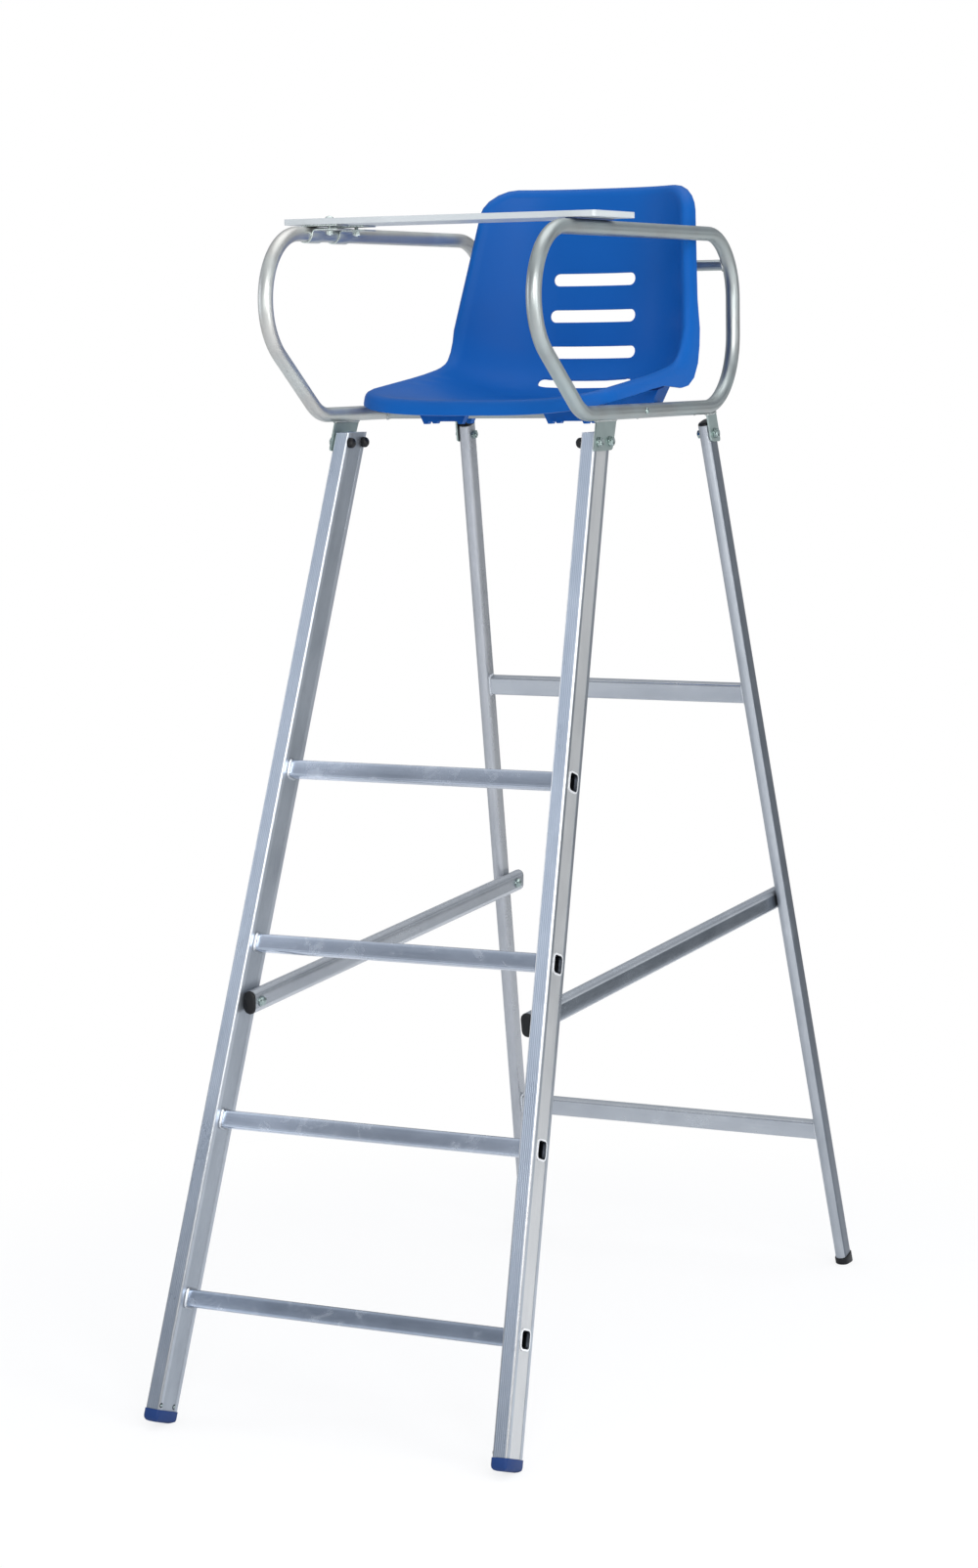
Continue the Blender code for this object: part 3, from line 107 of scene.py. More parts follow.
level = math.cos(CAMERA_PITCH)
forward = Vector((-math.sin(CAMERA_YAW) * level, math.cos(CAMERA_YAW) * level, -math.sin(CAMERA_PITCH)))
across = Vector((math.cos(CAMERA_YAW), math.sin(CAMERA_YAW), 0))
upright = across.cross(forward)
right = math.cos(CAMERA_ROLL) * across + math.sin(CAMERA_ROLL) * upright
up = -math.sin(CAMERA_ROLL) * across + math.cos(CAMERA_ROLL) * upright
camera = bpy.data.objects.new("camera", bpy.data.cameras.new("camera"))
bpy.context.scene.collection.objects.link(camera)
camera.data.lens = CAMERA_LENS
camera.data.sensor_width = CAMERA_SENSOR
camera.matrix_world = Matrix((right, up, -forward)).transposed().to_4x4()
camera.location = CAMERA_PLACE
bpy.context.scene.camera = camera

# %% [markdown]
# ## Nodes and colours
# Every finish is a small tree of shader nodes. One function adds a node, sets its properties and fills
# its sockets, either with a value or with a link from another node. Colours are written as screen hex
# values, which a second function turns into the linear numbers that shaders take.
# Pattern scales are written as a real size in millimetres.


# %% Node and colour helpers
def add(tree, kind, sockets=None, **settings):
    """A new node, with its properties set and its sockets filled or linked."""
    node = tree.nodes.new(kind)
    for name, value in settings.items():
        setattr(node, name, value)
    for socket, value in (sockets or {}).items():
        if isinstance(value, bpy.types.NodeSocket):
            tree.links.new(value, node.inputs[socket])
        else:
            node.inputs[socket].default_value = value
    return node


def colour(screen):
    """Linear colour of an sRGB hex value."""
    channels = [int(screen[k : k + 2], 16) / 255 for k in (0, 2, 4)]
    return [c / 12.92 if c <= 0.04045 else ((c + 0.055) / 1.055) ** 2.4 for c in channels] + [1]


def per_mm(size):
    """Scale of a pattern whose features are this many millimetres wide."""
    return 1000 / size


print("mid grey is", [round(c, 3) for c in colour("808080")])

# %% [markdown]
# ## Studio
# Bare metal is a mirror that is out of focus, so it shows the room around it. The tones on the bars suggest
# white paper in a dim room: faces that look down at the paper come out white, faces that look at the far
# wall, low over the edge of the paper, come out dark, and faces that look at the ceiling are light again.
# A picture of a real room would do, but a colour ramp over the height of a ray needs no file and is easy to
# tune. Camera rays see plain white, and reflections see a share of that white as well.

# %% World
scene = bpy.context.scene
scene.view_settings.view_transform = "Standard"
ROOM_TONES = (
    (0.00, "F5F6F7"), (0.40, "E6E8EA"),  # paper
    (0.432, "3C444E"), (0.462, "6C747D"),  # dark foot of the wall
    (0.492, "C8CCD1"), (0.56, "D2D5DA"),  # light band at eye level
    (0.62, "6E7580"), (0.70, "767D88"), (0.73, "8A919B"),  # dim upper wall
    (0.77, "B6BCC4"), (0.88, "E4E7EB"), (1.00, "FFFFFF"),  # ceiling
)
WHITE_SHARE = 0.16

world = bpy.data.worlds.new("white_studio")
scene.world = world
world.use_nodes = True
tree = world.node_tree
tree.nodes.clear()
direction = add(tree, "ShaderNodeTexCoord").outputs["Generated"]
height = add(tree, "ShaderNodeSeparateXYZ", {0: direction}).outputs["Z"]
share = add(tree, "ShaderNodeMapRange", {"Value": height, "From Min": -1, "From Max": 1}).outputs["Result"]
room = add(tree, "ShaderNodeValToRGB", {"Fac": share})
stops = room.color_ramp.elements
stops[0].position, stops[1].position = 0, 1
for at, _ in ROOM_TONES[1:-1]:
    stops.new(at)
for stop, (_, tone) in zip(stops, ROOM_TONES):
    stop.color = colour(tone)
ray = add(tree, "ShaderNodeLightPath")
mirror = {0: ray.outputs["Is Glossy Ray"], 1: WHITE_SHARE}
mirror = add(tree, "ShaderNodeMath", mirror, operation="MULTIPLY").outputs[0]
seen = add(tree, "ShaderNodeMath", {0: ray.outputs["Is Camera Ray"], 1: mirror}, operation="ADD").outputs[0]
seen = {0: seen, 1: ray.outputs["Is Transmission Ray"]}
seen = add(tree, "ShaderNodeMath", seen, operation="ADD", use_clamp=True).outputs[0]
studio = add(tree, "ShaderNodeBackground", {"Color": room.outputs["Color"], "Strength": 1.0}).outputs[0]
paper = add(tree, "ShaderNodeBackground", {"Color": (1, 1, 1, 1), "Strength": 1.0}).outputs[0]
mixed = add(tree, "ShaderNodeMixShader", {0: seen, 1: studio, 2: paper}).outputs[0]
add(tree, "ShaderNodeOutputWorld", {"Surface": mixed})
print("room tones", len(ROOM_TONES))

# %% [markdown]
# ## Paper floor
# The paper ends about three metres from the chair. Camera rays see it turn to plain white before its edge,
# so no horizon shows, and it keeps the soft shadows close to the feet.

# %% Floor
PAPER_RADIUS = 3.3
FADE_START, FADE_END, FADE_SHARE = 0.85, 1.6, 0.8
bm = bmesh.new()
bmesh.ops.create_circle(bm, cap_ends=True, segments=64, radius=PAPER_RADIUS)
mesh = bpy.data.meshes.new("floor")
bm.to_mesh(mesh)
bm.free()
floor = bpy.data.objects.new("floor", mesh)
scene.collection.objects.link(floor)
floor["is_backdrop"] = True

sheet = bpy.data.materials.new("white_floor_paper")
sheet.use_nodes = True
tree = sheet.node_tree
tree.nodes.clear()
place = add(tree, "ShaderNodeTexCoord").outputs["Object"]
away = add(tree, "ShaderNodeVectorMath", {0: place}, operation="LENGTH").outputs["Value"]
fade = {"Value": away, "From Min": FADE_START, "From Max": FADE_END, "To Min": FADE_SHARE, "To Max": 1.0}
fade = add(tree, "ShaderNodeMapRange", fade, interpolation_type="SMOOTHSTEP").outputs["Result"]
ray = add(tree, "ShaderNodeLightPath").outputs["Is Camera Ray"]
seen = add(tree, "ShaderNodeMath", {0: ray, 1: fade}, operation="MULTIPLY").outputs[0]
lit = add(tree, "ShaderNodeBsdfDiffuse", {"Color": colour("F4F5F7")}).outputs[0]
white = add(tree, "ShaderNodeEmission", {"Color": (1, 1, 1, 1), "Strength": 1.0}).outputs[0]
mixed = add(tree, "ShaderNodeMixShader", {0: seen, 1: lit, 2: white}).outputs[0]
add(tree, "ShaderNodeOutputMaterial", {"Surface": mixed})
mesh.materials.append(sheet)
print("paper", 2 * PAPER_RADIUS, "m wide")

# %% [markdown]
# ## Lamps
# A large soft box close to the camera gives every round tube its long white highlight. Two tall strips on
# the right draw the white line along the corner of each stile, on top of the painted highlight there, and
# one on the left puts a second highlight on the tubes and keeps their dark side open. A small one in front
# lights the front bends of the arm loops, and one overhead lifts the pan and the top of the board.

# %% Soft boxes
LAMP_AIM = Vector((0, 0, 1.1))
# Name, place, width and height, power in watts and colour
SOFT_BOXES = (
    ("key", (2.3, -3.5, 2.5), (2.0, 1.8), 88, "FFFDFB"),
    ("strip", (3.1, -1.5, 1.6), (0.9, 2.6), 36, "FFFFFF"),
    ("edge", (3.6, 0.75, 1.1), (0.5, 2.2), 12, "FFFFFF"),
    ("fill", (-4.0, -2.0, 1.9), (1.3, 2.4), 30, "F2F5FF"),
    ("front", (0.0, -4.2, 1.75), (0.8, 0.6), 12, "FFFFFF"),
    ("top", (0.3, 0.6, 4.6), (2.8, 2.8), 34, "FFFFFF"),
)
for name, place, size, power, tone in SOFT_BOXES:
    lamp = bpy.data.objects.new(name, bpy.data.lights.new(name, "AREA"))
    lamp.data.shape = "RECTANGLE"
    lamp.data.size, lamp.data.size_y = size
    lamp.data.energy = power
    lamp.data.color = colour(tone)[:3]
    lamp.location = place
    lamp.rotation_euler = (LAMP_AIM - lamp.location).to_track_quat("-Z", "Y").to_euler()
    scene.collection.objects.link(lamp)
print("soft boxes", len(SOFT_BOXES))

# %% [markdown]
# ## Mill-finish aluminium
# The ladder and the rear frame look like a common aluminium alloy as it leaves the extrusion press: not
# polished, not anodised. The die leaves faint lines along each bar, and handling leaves cloudy patches.
# A noise texture that is stretched along the bar gives such lines without an image or an unwrapped mesh,
# and a Mapping node turns it to the bar. Real die lines are a few hundredths of a millimetre wide. They are
# drawn 1.4 mm wide here, so that they show at all.
# A thin skin of oxide scatters a share of the light, so the metal isn't a full mirror.

# %% Direction of a bar
END_SHARE = 0.06  # share of a bar's length that counts as its end


def bar_axis(node):
    """Direction of a long bar, from the middles of its two ends."""
    low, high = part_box(node)
    size = high - low
    long_way = max(range(3), key=lambda k: size[k])
    margin = END_SHARE * size[long_way]
    points = [v.co for v in frame["nodes"][node].data.vertices]
    near = [p for p in points if p[long_way] < low[long_way] + margin]
    far = [p for p in points if p[long_way] > high[long_way] - margin]
    return (sum(far, Vector()) / len(far) - sum(near, Vector()) / len(near)).normalized()


ALONG_X, ALONG_STILE = Vector((1, 0, 0)), bar_axis("ladder_stile_right")
print("right stile runs along", [round(x, 3) for x in ALONG_STILE])

# %% Extruded aluminium
LINE_MM, CLOUD_MM, SMUDGE_MM = 1.4, 42, 45
LINE_STRETCH, CLOUD_STRETCH, LINE_SHARE = 90, 2.5, 0.6
ROUGH_LOW, ROUGH_HIGH, SMUDGE_ROUGH = 0.20, 0.28, 0.3
SMUDGE_START, SMUDGE_FULL = 0.55, 0.75
NOISE_LOW, NOISE_HIGH = 0.3, 0.7  # most values of a noise texture lie between these


def new_material(name):
    made = bpy.data.materials.new(name)
    made.use_nodes = True
    return made, made.node_tree, made.node_tree.nodes["Principled BSDF"]


def aluminium(part, axis, dark, light, smudge, duller=0.0, oxide=0.2, fade=None):
    """Two tones, share of smudges, added roughness, share of scattered light, and a fade of painted light
    and shade along the bar.
    """
    made, tree, shader = new_material(f"mill_aluminium_{part}")
    place = add(tree, "ShaderNodeTexCoord").outputs["Object"]
    turn = axis.to_track_quat("Z", "Y").to_euler()
    along = {"Vector": place, "Rotation": turn, "Scale": (1, 1, LINE_STRETCH)}
    along = add(tree, "ShaderNodeMapping", along, vector_type="TEXTURE").outputs["Vector"]
    lines = {"Vector": along, "Scale": per_mm(LINE_MM), "Detail": 3}
    lines = add(tree, "ShaderNodeTexNoise", lines).outputs["Fac"]
    patchy = {"Vector": place, "Rotation": turn, "Scale": (1, 1, CLOUD_STRETCH)}
    patchy = add(tree, "ShaderNodeMapping", patchy, vector_type="TEXTURE").outputs["Vector"]
    clouds = {"Vector": patchy, "Scale": per_mm(CLOUD_MM), "Detail": 5, "Roughness": 0.6}
    clouds = add(tree, "ShaderNodeTexNoise", clouds).outputs["Fac"]
    touched = {"Vector": place, "Scale": per_mm(SMUDGE_MM), "Detail": 5}
    touched.update({"Roughness": 0.6, "Distortion": 0.8})
    touched = add(tree, "ShaderNodeTexNoise", touched).outputs["Fac"]
    touched = {"Value": touched, "From Min": SMUDGE_START, "From Max": SMUDGE_FULL, "To Max": smudge}
    touched = add(tree, "ShaderNodeMapRange", touched).outputs["Result"]
    tone = {"Factor": clouds, 6: colour(dark), 7: colour(light)}
    tone = add(tree, "ShaderNodeMix", tone, data_type="RGBA").outputs[2]
    streaks = {"Factor": lines, 6: colour("D4D8DD"), 7: colour("FFFFFF")}
    streaks = add(tree, "ShaderNodeMix", streaks, data_type="RGBA").outputs[2]
    wear_and_painted_light = {"Factor": LINE_SHARE, 6: tone, 7: streaks}
    wear_and_painted_light = add(tree, "ShaderNodeMix", wear_and_painted_light, data_type="RGBA", blend_type="MULTIPLY").outputs[2]
    wear_and_painted_light = {"Factor": touched, 6: wear_and_painted_light, 7: colour("E6EBF2")}
    wear_and_painted_light = add(tree, "ShaderNodeMix", wear_and_painted_light, data_type="RGBA").outputs[2]
    # The fade scales the colour along the bar: painted light and shade.
    if fade:
        way, start, stop, strength = fade
        level = add(tree, "ShaderNodeSeparateXYZ", {0: place}).outputs[way]
        level = {"Value": level, "From Min": start, "From Max": stop, "To Min": strength, "To Max": 1.0}
        level = add(tree, "ShaderNodeMapRange", level, interpolation_type="SMOOTHSTEP").outputs["Result"]
        wear_and_painted_light = {0: wear_and_painted_light, "Scale": level}
        wear_and_painted_light = add(tree, "ShaderNodeVectorMath", wear_and_painted_light, operation="SCALE").outputs["Vector"]
    tree.links.new(wear_and_painted_light, shader.inputs["Base Color"])
    rough = {"Value": clouds, "From Min": NOISE_LOW, "From Max": NOISE_HIGH}
    rough.update({"To Min": ROUGH_LOW + duller, "To Max": ROUGH_HIGH + duller})
    rough = add(tree, "ShaderNodeMapRange", rough).outputs["Result"]
    rough = {0: touched, 1: SMUDGE_ROUGH, 2: rough}
    rough = add(tree, "ShaderNodeMath", rough, operation="MULTIPLY_ADD").outputs[0]
    tree.links.new(rough, shader.inputs["Roughness"])
    ridge = {"Height": lines, "Strength": 0.05, "Distance": 0.0001}
    tree.links.new(add(tree, "ShaderNodeBump", ridge).outputs["Normal"], shader.inputs["Normal"])
    shader.inputs["Metallic"].default_value = 1 - oxide
    return made


print("die lines", LINE_MM, "mm wide, stretched", LINE_STRETCH, "times along the bar")

# %% [markdown]
# ## Tones of the bars
# The bars are presumably all one alloy, yet in the photograph one face of a bar is light and the next one
# dark, the fronts of the stiles darken towards the floor and the rungs are lightest at their left end. Most
# of that is what each face mirrors, and the simple room above can't give all of it. So light and shade are
# painted into the colours, in place of the missing reflections: the faces of a bar have painted tones of
# their own, left and right bars are lit and shaded copies, and painted fades run along the bars.

# %% Aluminium finishes
SIDES = {"left": -1, "right": 1}
# A fade has an axis, the places where it starts and stops, and the strength of the tone at its start
# Painted shade: the fronts of the stiles darken towards the floor.
NEAR_FLOOR = ("Z", 0.0, 0.9, 0.55)
# Painted highlight on the stile corners, fading towards the floor.
CORNER_HIGHLIGHT_FADE = ("Z", 0.0, 1.1, 0.4)
# Painted light: the right lands are brighter low down.
PAINTED_LIGHT_BELOW = ("Z", 0.1, 0.9, 1.55)
# Painted light: the rungs are lighter towards their left end.
PAINTED_LIGHT_LEFT_END = ("X", -0.27, -0.02, 1.45)
# Dark tone, light tone, share of smudges, added roughness, share of scattered light and a fade
# The left and right legs and stays get lit and shaded copies of one tone: painted light and shade.
BAR_TONES = {
    "ladder_stile_left": ("A4AEBC", "C4CDD9", 0.06, 0.06, 0.5, NEAR_FLOOR),
    "ladder_stile_right": ("A8B3C3", "C8D1DE", 0.06, 0.08, 0.5, NEAR_FLOOR),
    "rear_leg_left": ("A0A4A9", "C6C8CC", 0.06, 0.14, 0.35),
    "rear_leg_right": ("949AA1", "BDC1C6", 0.06, 0.14, 0.35),
    "stay_bar_left": ("B0B4BA", "D6D9DC", 0.06, 0.0, 0.3),
    "stay_bar_right": ("A4AAB1", "CCD0D5", 0.06, 0.0, 0.3),
}
# Painted shade on the flat sides of the legs and stays, darkest on the right.
SIDE_PAINTED_SHADE = {
    "rear_leg_left": ("A2A5A9", "C6C8CB", 0.06, 0.04, 0.3),
    "rear_leg_right": ("5E656D", "848A92", 0.06, 0.1, 0.15),
    "stay_bar_left": ("989DA3", "BEC2C7", 0.06, 0.0, 0.25),
    "stay_bar_right": ("6A727B", "8E959D", 0.06, 0.0, 0.15),
}

bar_looks = {bar: aluminium(bar, bar_axis(bar), *tones) for bar, tones in BAR_TONES.items()}
side_painted_shade = {bar: aluminium(f"{bar}_side", bar_axis(bar), *tones) for bar, tones in SIDE_PAINTED_SHADE.items()}
level_bar = aluminium("crossbar", ALONG_X, "A4A9B0", "C8CCD0", 0.1)
# Painted light towards the left end of every rung, and a darker copy for the lowest rung as painted shade.
rung_bar = aluminium("rung", ALONG_X, "A8B2C1", "CCD4E1", 0.35, 0.0, 0.1, PAINTED_LIGHT_LEFT_END)
low_rung_painted_shade = aluminium("low_rung", ALONG_X, "8C97A7", "B0BAC9", 0.35, 0.0, 0.1, PAINTED_LIGHT_LEFT_END)
# Painted light and shade on the stile sides, and a painted white highlight on the front corners.
channel_painted_light = {
    "left": aluminium("left_channel", ALONG_STILE, "8F969E", "B4BAC1", 0.04, 0.1),
    "right": aluminium("right_channel", ALONG_STILE, "C6C7C7", "DFDFDD", 0.04, 0.16),
}
land_painted_light = {
    "left": aluminium("left_land", ALONG_STILE, "A4AAB2", "C8CDD3", 0.04, 0.08),
    "right": aluminium("right_land", ALONG_STILE, "80868C", "A2A7AD", 0.04, 0.06, 0.2, PAINTED_LIGHT_BELOW),
}
corner_painted_highlight = {
    "left": aluminium("left_corner", ALONG_STILE, "CDD2D8", "E8EBEE", 0.0, 0.14, 0.2, CORNER_HIGHLIGHT_FADE),
    "right": aluminium("right_corner", ALONG_STILE, "F0F2F4", "FFFFFF", 0.0, 0.12, 0.2, CORNER_HIGHLIGHT_FADE),
}
# Painted shade in the valleys between the ribs.
rib_valley_painted_shade = aluminium("rib_valley_painted_shade", ALONG_STILE, "8796A9", "ABB8C9", 0.0, 0.06, 0.5, NEAR_FLOOR)
print("aluminium finishes", sum(m.name.startswith("mill_aluminium") for m in bpy.data.materials))

# %% [markdown]
# ## Zinc-plated steel, fasteners and the inside of a rung
# The arm loops, cross tubes, brackets and straps are taken to be steel with a satin zinc plate. It gives a
# warmer grey than aluminium, with slow cloudy changes between greenish and brownish grey. The left loop is
# lighter in the photograph, so it has a lighter copy of the tones, as painted light. Bolts are zinc too,
# but bright. The straps and board bolts get a lighter zinc still, painted light in the shade under the
# board. The bore of a rung gets little light and looks nearly black, so it is painted near black as painted
# shade, and the same finish is the painted shadow round the foot rivets. Weld beads and the flared ends of
# the rungs use the same tree, and the flares are painted near white as a painted highlight.
# One noise texture at two sizes is enough: clouds for the tone, and a finer grain for gloss and bumps.

# %% Zinc and bore
GRAINS_PER_CLOUD = 4


def zinc_plate(name, dark, light, cloud_mm, rough_low, rough_high, haze=0.0):
    made, tree, shader = new_material(name)
    place = add(tree, "ShaderNodeTexCoord").outputs["Object"]
    clouds = {"Vector": place, "Scale": per_mm(cloud_mm), "Detail": 4, "Roughness": 0.6}
    clouds = add(tree, "ShaderNodeTexNoise", clouds).outputs["Fac"]
    tone = {"Factor": clouds, 6: colour(dark), 7: colour(light)}
    tone = add(tree, "ShaderNodeMix", tone, data_type="RGBA").outputs[2]
    tree.links.new(tone, shader.inputs["Base Color"])
    grain = {"Vector": place, "Scale": per_mm(cloud_mm / GRAINS_PER_CLOUD), "Detail": 1}
    grain = add(tree, "ShaderNodeTexNoise", grain).outputs["Fac"]
    rough = {"Value": grain, "From Min": NOISE_LOW, "From Max": NOISE_HIGH}
    rough.update({"To Min": rough_low, "To Max": rough_high})
    tree.links.new(add(tree, "ShaderNodeMapRange", rough).outputs["Result"], shader.inputs["Roughness"])
    orange_peel = {"Height": grain, "Strength": 0.05, "Distance": 0.0002}
    tree.links.new(add(tree, "ShaderNodeBump", orange_peel).outputs["Normal"], shader.inputs["Normal"])
    shader.inputs["Metallic"].default_value = 1 - haze
    return made


satin_zinc = zinc_plate("satin_zinc_steel_tube", "928C8A", "ACBDBE", 110, 0.33, 0.43, 0.1)
# A lighter copy for the left loop and the strap faces: painted light.
left_loop_painted_light = zinc_plate("satin_zinc_left_loop_painted_light", "ABA29E", "CBD6D4", 110, 0.35, 0.45, 0.2)
plate_zinc = zinc_plate("satin_zinc_steel_plate", "93A29F", "B6C4C0", 24, 0.3, 0.42)
bright_zinc = zinc_plate("bright_zinc_fastener", "758583", "B6C5C2", 6, 0.14, 0.24)
# Lighter zinc for the straps and the board bolts: painted light in the shade under the board.
strap_painted_light = zinc_plate("zinc_strap_painted_light", "B6C2BF", "DCE5E2", 12, 0.22, 0.32, 0.4)
weld_zinc = zinc_plate("zinc_weld_bead", "8F9494", "C6CAC8", 4, 0.3, 0.5)
# Near white for the flared rung ends: a painted highlight.
painted_highlight_rim = zinc_plate("painted_highlight_rung_rim", "EEF0F2", "FFFFFF", 5, 0.45, 0.6)
weld_aluminium = zinc_plate("aluminium_weld_bead", "B6BBC2", "E4E7EA", 5, 0.28, 0.42)
# Near black for the rung bores and the rims of the foot rivets: painted shade and painted shadow.
painted_shade_dark = zinc_plate("painted_shade_bore_and_rivet_rim", "1C1F23", "3C4047", 8, 0.3, 0.5)
print("finishes so far", len(bpy.data.materials))

# %% [markdown]
# ## Plastics
# A shell seat like this one is usually injection-moulded polypropylene, coloured right through. The mould
# often has a spark-eroded face, which gives the skin a very fine grain that spreads highlights into soft
# patches. Feet and caps are moulded as well. The rest strip is taken to be rubber, and its dark grey-blue
# is
# painted shade: the shaded blue seat seen through the gap under the board. The board is a white laminate.
# A large noise changes tone and gloss slowly, as the flow in a mould does, and a fine one makes the grain.
# Real grain is about 0.3 mm. It is drawn about 1 mm wide here, so that it shows.

# %% Moulded plastic
FLOW_MM, PLASTIC_IOR = 120, 1.49


def moulded_plastic(name, dark, light, grain_mm, rough_low, rough_high, height, gloss=0.5):
    made, tree, shader = new_material(name)
    place = add(tree, "ShaderNodeTexCoord").outputs["Object"]
    flow = {"Vector": place, "Scale": per_mm(FLOW_MM), "Detail": 3}
    flow = add(tree, "ShaderNodeTexNoise", flow).outputs["Fac"]
    tone = {"Factor": flow, 6: colour(dark), 7: colour(light)}
    tone = add(tree, "ShaderNodeMix", tone, data_type="RGBA").outputs[2]
    tree.links.new(tone, shader.inputs["Base Color"])
    rough = {"Value": flow, "From Min": NOISE_LOW, "From Max": NOISE_HIGH}
    rough.update({"To Min": rough_low, "To Max": rough_high})
    tree.links.new(add(tree, "ShaderNodeMapRange", rough).outputs["Result"], shader.inputs["Roughness"])
    grain = add(tree, "ShaderNodeTexNoise", {"Vector": place, "Scale": per_mm(grain_mm), "Detail": 2})
    skin = {"Height": grain.outputs["Fac"], "Strength": 0.3, "Distance": height}
    tree.links.new(add(tree, "ShaderNodeBump", skin).outputs["Normal"], shader.inputs["Normal"])
    shader.inputs["IOR"].default_value = PLASTIC_IOR
    shader.inputs["Specular IOR Level"].default_value = gloss
    return made


seat_blue = moulded_plastic("blue_polypropylene_shell", "0A53A0", "0E59A8", 1.0, 0.42, 0.5, 0.0002, 0.13)
foot_blue = moulded_plastic("blue_foot_plastic", "163062", "1C396E", 1.4, 0.46, 0.56, 0.0003, 0.2)
black_cap = moulded_plastic("black_moulded_cap", "0C0D0F", "131518", 1.2, 0.4, 0.5, 0.0002, 0.3)
# Grey-blue for the rest strip: painted shade, the shaded seat seen through the gap under the board.
rest_strip_painted_shade = moulded_plastic("painted_shade_rest_strip", "3A4A70", "48587E", 1.6, 0.7, 0.85, 0.0004)
board_white = moulded_plastic("white_board_laminate", "B6BCBF", "C6CBCD", 0.9, 0.3, 0.4, 0.00004)
print("all finishes", len(bpy.data.materials))

# %% [markdown]
# ## From solid to finished piece
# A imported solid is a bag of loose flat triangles. Its form is right, but its edges are knife sharp and
# round parts show their facets. So each one is copied, its triangles are merged, flat regions become whole
# faces again, sharp edges get a small round where it would show, and the rest is shaded smooth.
# The copy takes the solid's place and rides on the same body.
# On a bar, a Weighted Normal modifier lets the widest face at each corner set the shading there, so that
# flat sides stay flat and only the corner itself turns.

# %% Finishing helpers
MERGE, FLAT_ANGLE = 0.00002, math.radians(0.5)
EDGE_ROUND = {"offset_type": "OFFSET", "affect": "EDGES", "profile": 0.5}
EDGE_ROUND.update({"material": -1, "clamp_overlap": True})


def merged_copy(node):
    bm = bmesh.new()
    bm.from_mesh(frame["nodes"][node].data)
    bmesh.ops.remove_doubles(bm, verts=bm.verts, dist=MERGE)
    bmesh.ops.dissolve_limit(bm, angle_limit=FLAT_ANGLE, verts=bm.verts, edges=bm.edges)
    return bm


def soften(bm, size, segments=2, angle=30):
    sharp = [e for e in bm.edges if e.is_manifold and e.calc_face_angle() > math.radians(angle)]
    bmesh.ops.bevel(bm, geom=sharp, offset=size, segments=segments, **EDGE_ROUND)


def finish_piece(name, bm, looks, body, slot, smooth=38, flatness=0):
    mesh = bpy.data.meshes.new(name)
    bm.to_mesh(mesh)
    bm.free()
    for look in looks:
        mesh.materials.append(look)
    mesh.shade_smooth()
    mesh.set_sharp_from_angle(angle=math.radians(smooth))
    made = bpy.data.objects.new(name, mesh)
    scene.collection.objects.link(made)
    if flatness:
        flats = made.modifiers.new("flat_faces_stay_flat", "WEIGHTED_NORMAL")
        flats.keep_sharp = True
        flats.weight = flatness
    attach(made, body)
    return made


def stand_in(node, bm, looks, **shading):
    """A finished piece that takes the place of a solid."""
    made = finish_piece(f"{node}_finished", bm, looks, body_of[node], slot_of[node], **shading)
    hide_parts(node)
    return made


def dress(node, look, size=0.0, **shading):
    bm = merged_copy(node)
    if size:
        soften(bm, size)
    return stand_in(node, bm, [look], **shading)


print("helpers ready")

# %% [markdown]
# ## Bars, brackets and fasteners
# These solids already have their sections, holes and rounded corners. Modelling them again could only bring
# in differences, so a copy with finished edges takes their place.

# %% Dress the frame
BRACKET_EDGE, BOLT_EDGE, CAP_EDGE, FOOT_EDGE, BOARD_EDGE = 0.0006, 0.0003, 0.0004, 0.0006, 0.0008
BAR_FLATNESS, PLATE_FLATNESS = 90, 100
CRISP_ANGLE = 30
count = 0
for node in sorted(frame["nodes"]):
    if node.startswith("rear_crossbar"):
        dress(node, level_bar, flatness=BAR_FLATNESS)
    elif node.startswith(("seat_crossbar", "back_crossbar")):
        dress(node, satin_zinc)
    elif "_bracket_left" in node or "_bracket_right" in node:
        dress(node, plate_zinc, BRACKET_EDGE, flatness=PLATE_FLATNESS)
    # Board bolts and nuts take the lighter zinc: painted light in the shade under the board.
    elif node.startswith(("board_bolt", "board_nut")):
        dress(node, strap_painted_light, BOLT_EDGE, smooth=CRISP_ANGLE)
    elif slot_of[node] == "zinc_fastener":
        dress(node, bright_zinc, BOLT_EDGE, smooth=CRISP_ANGLE)
    elif slot_of[node] == "black_plastic":
        dress(node, black_cap, CAP_EDGE)
    elif slot_of[node] == "foot_blue":
        dress(node, foot_blue, FOOT_EDGE)
    elif node == "writing_board":
        dress(node, board_white, BOARD_EDGE, flatness=PLATE_FLATNESS)
    elif node == "board_rest_strip":
        dress(node, rest_strip_painted_shade, BOARD_EDGE)
    else:
        continue
    count += 1
print("dressed", count, "solids")

# %% [markdown]
# ## Board straps
# A strap is a strip of zinc-plated steel, bent round the arm tube. In the photograph its cut edges are
# bright, and its faces have the tone of the tube that they wrap. The edges get a painted highlight, and the
# faces the lighter tone of the left loop, which is painted light. One mesh can hold both finishes, and the
# direction of a face decides which one it gets: faces that look along the tube are edges.

# %% Straps with painted highlights on their edges
STRAP_EDGE, ALONG_TUBE = 0.0004, 0.5
for node in sorted(n for n in frame["nodes"] if n.startswith("board_strap")):
    bm = merged_copy(node)
    soften(bm, STRAP_EDGE)
    for face in bm.faces:
        face.material_index = 1 if abs(face.normal.y) > ALONG_TUBE else 0
    made = stand_in(node, bm, [left_loop_painted_light, strap_painted_light])
    print(node, "edge faces", sum(f.material_index for f in made.data.polygons))

# %% [markdown]
# ## Legs and stays
# A flat-oval bar has two flat sides and two round edges. In the photograph the flat sides of the right leg
# and the right stay are clearly darker than their round edges, so flat sides get painted shade of their
# own.
# Those sides look to the left and right of the chair, so a face that looks along X is a flat side.

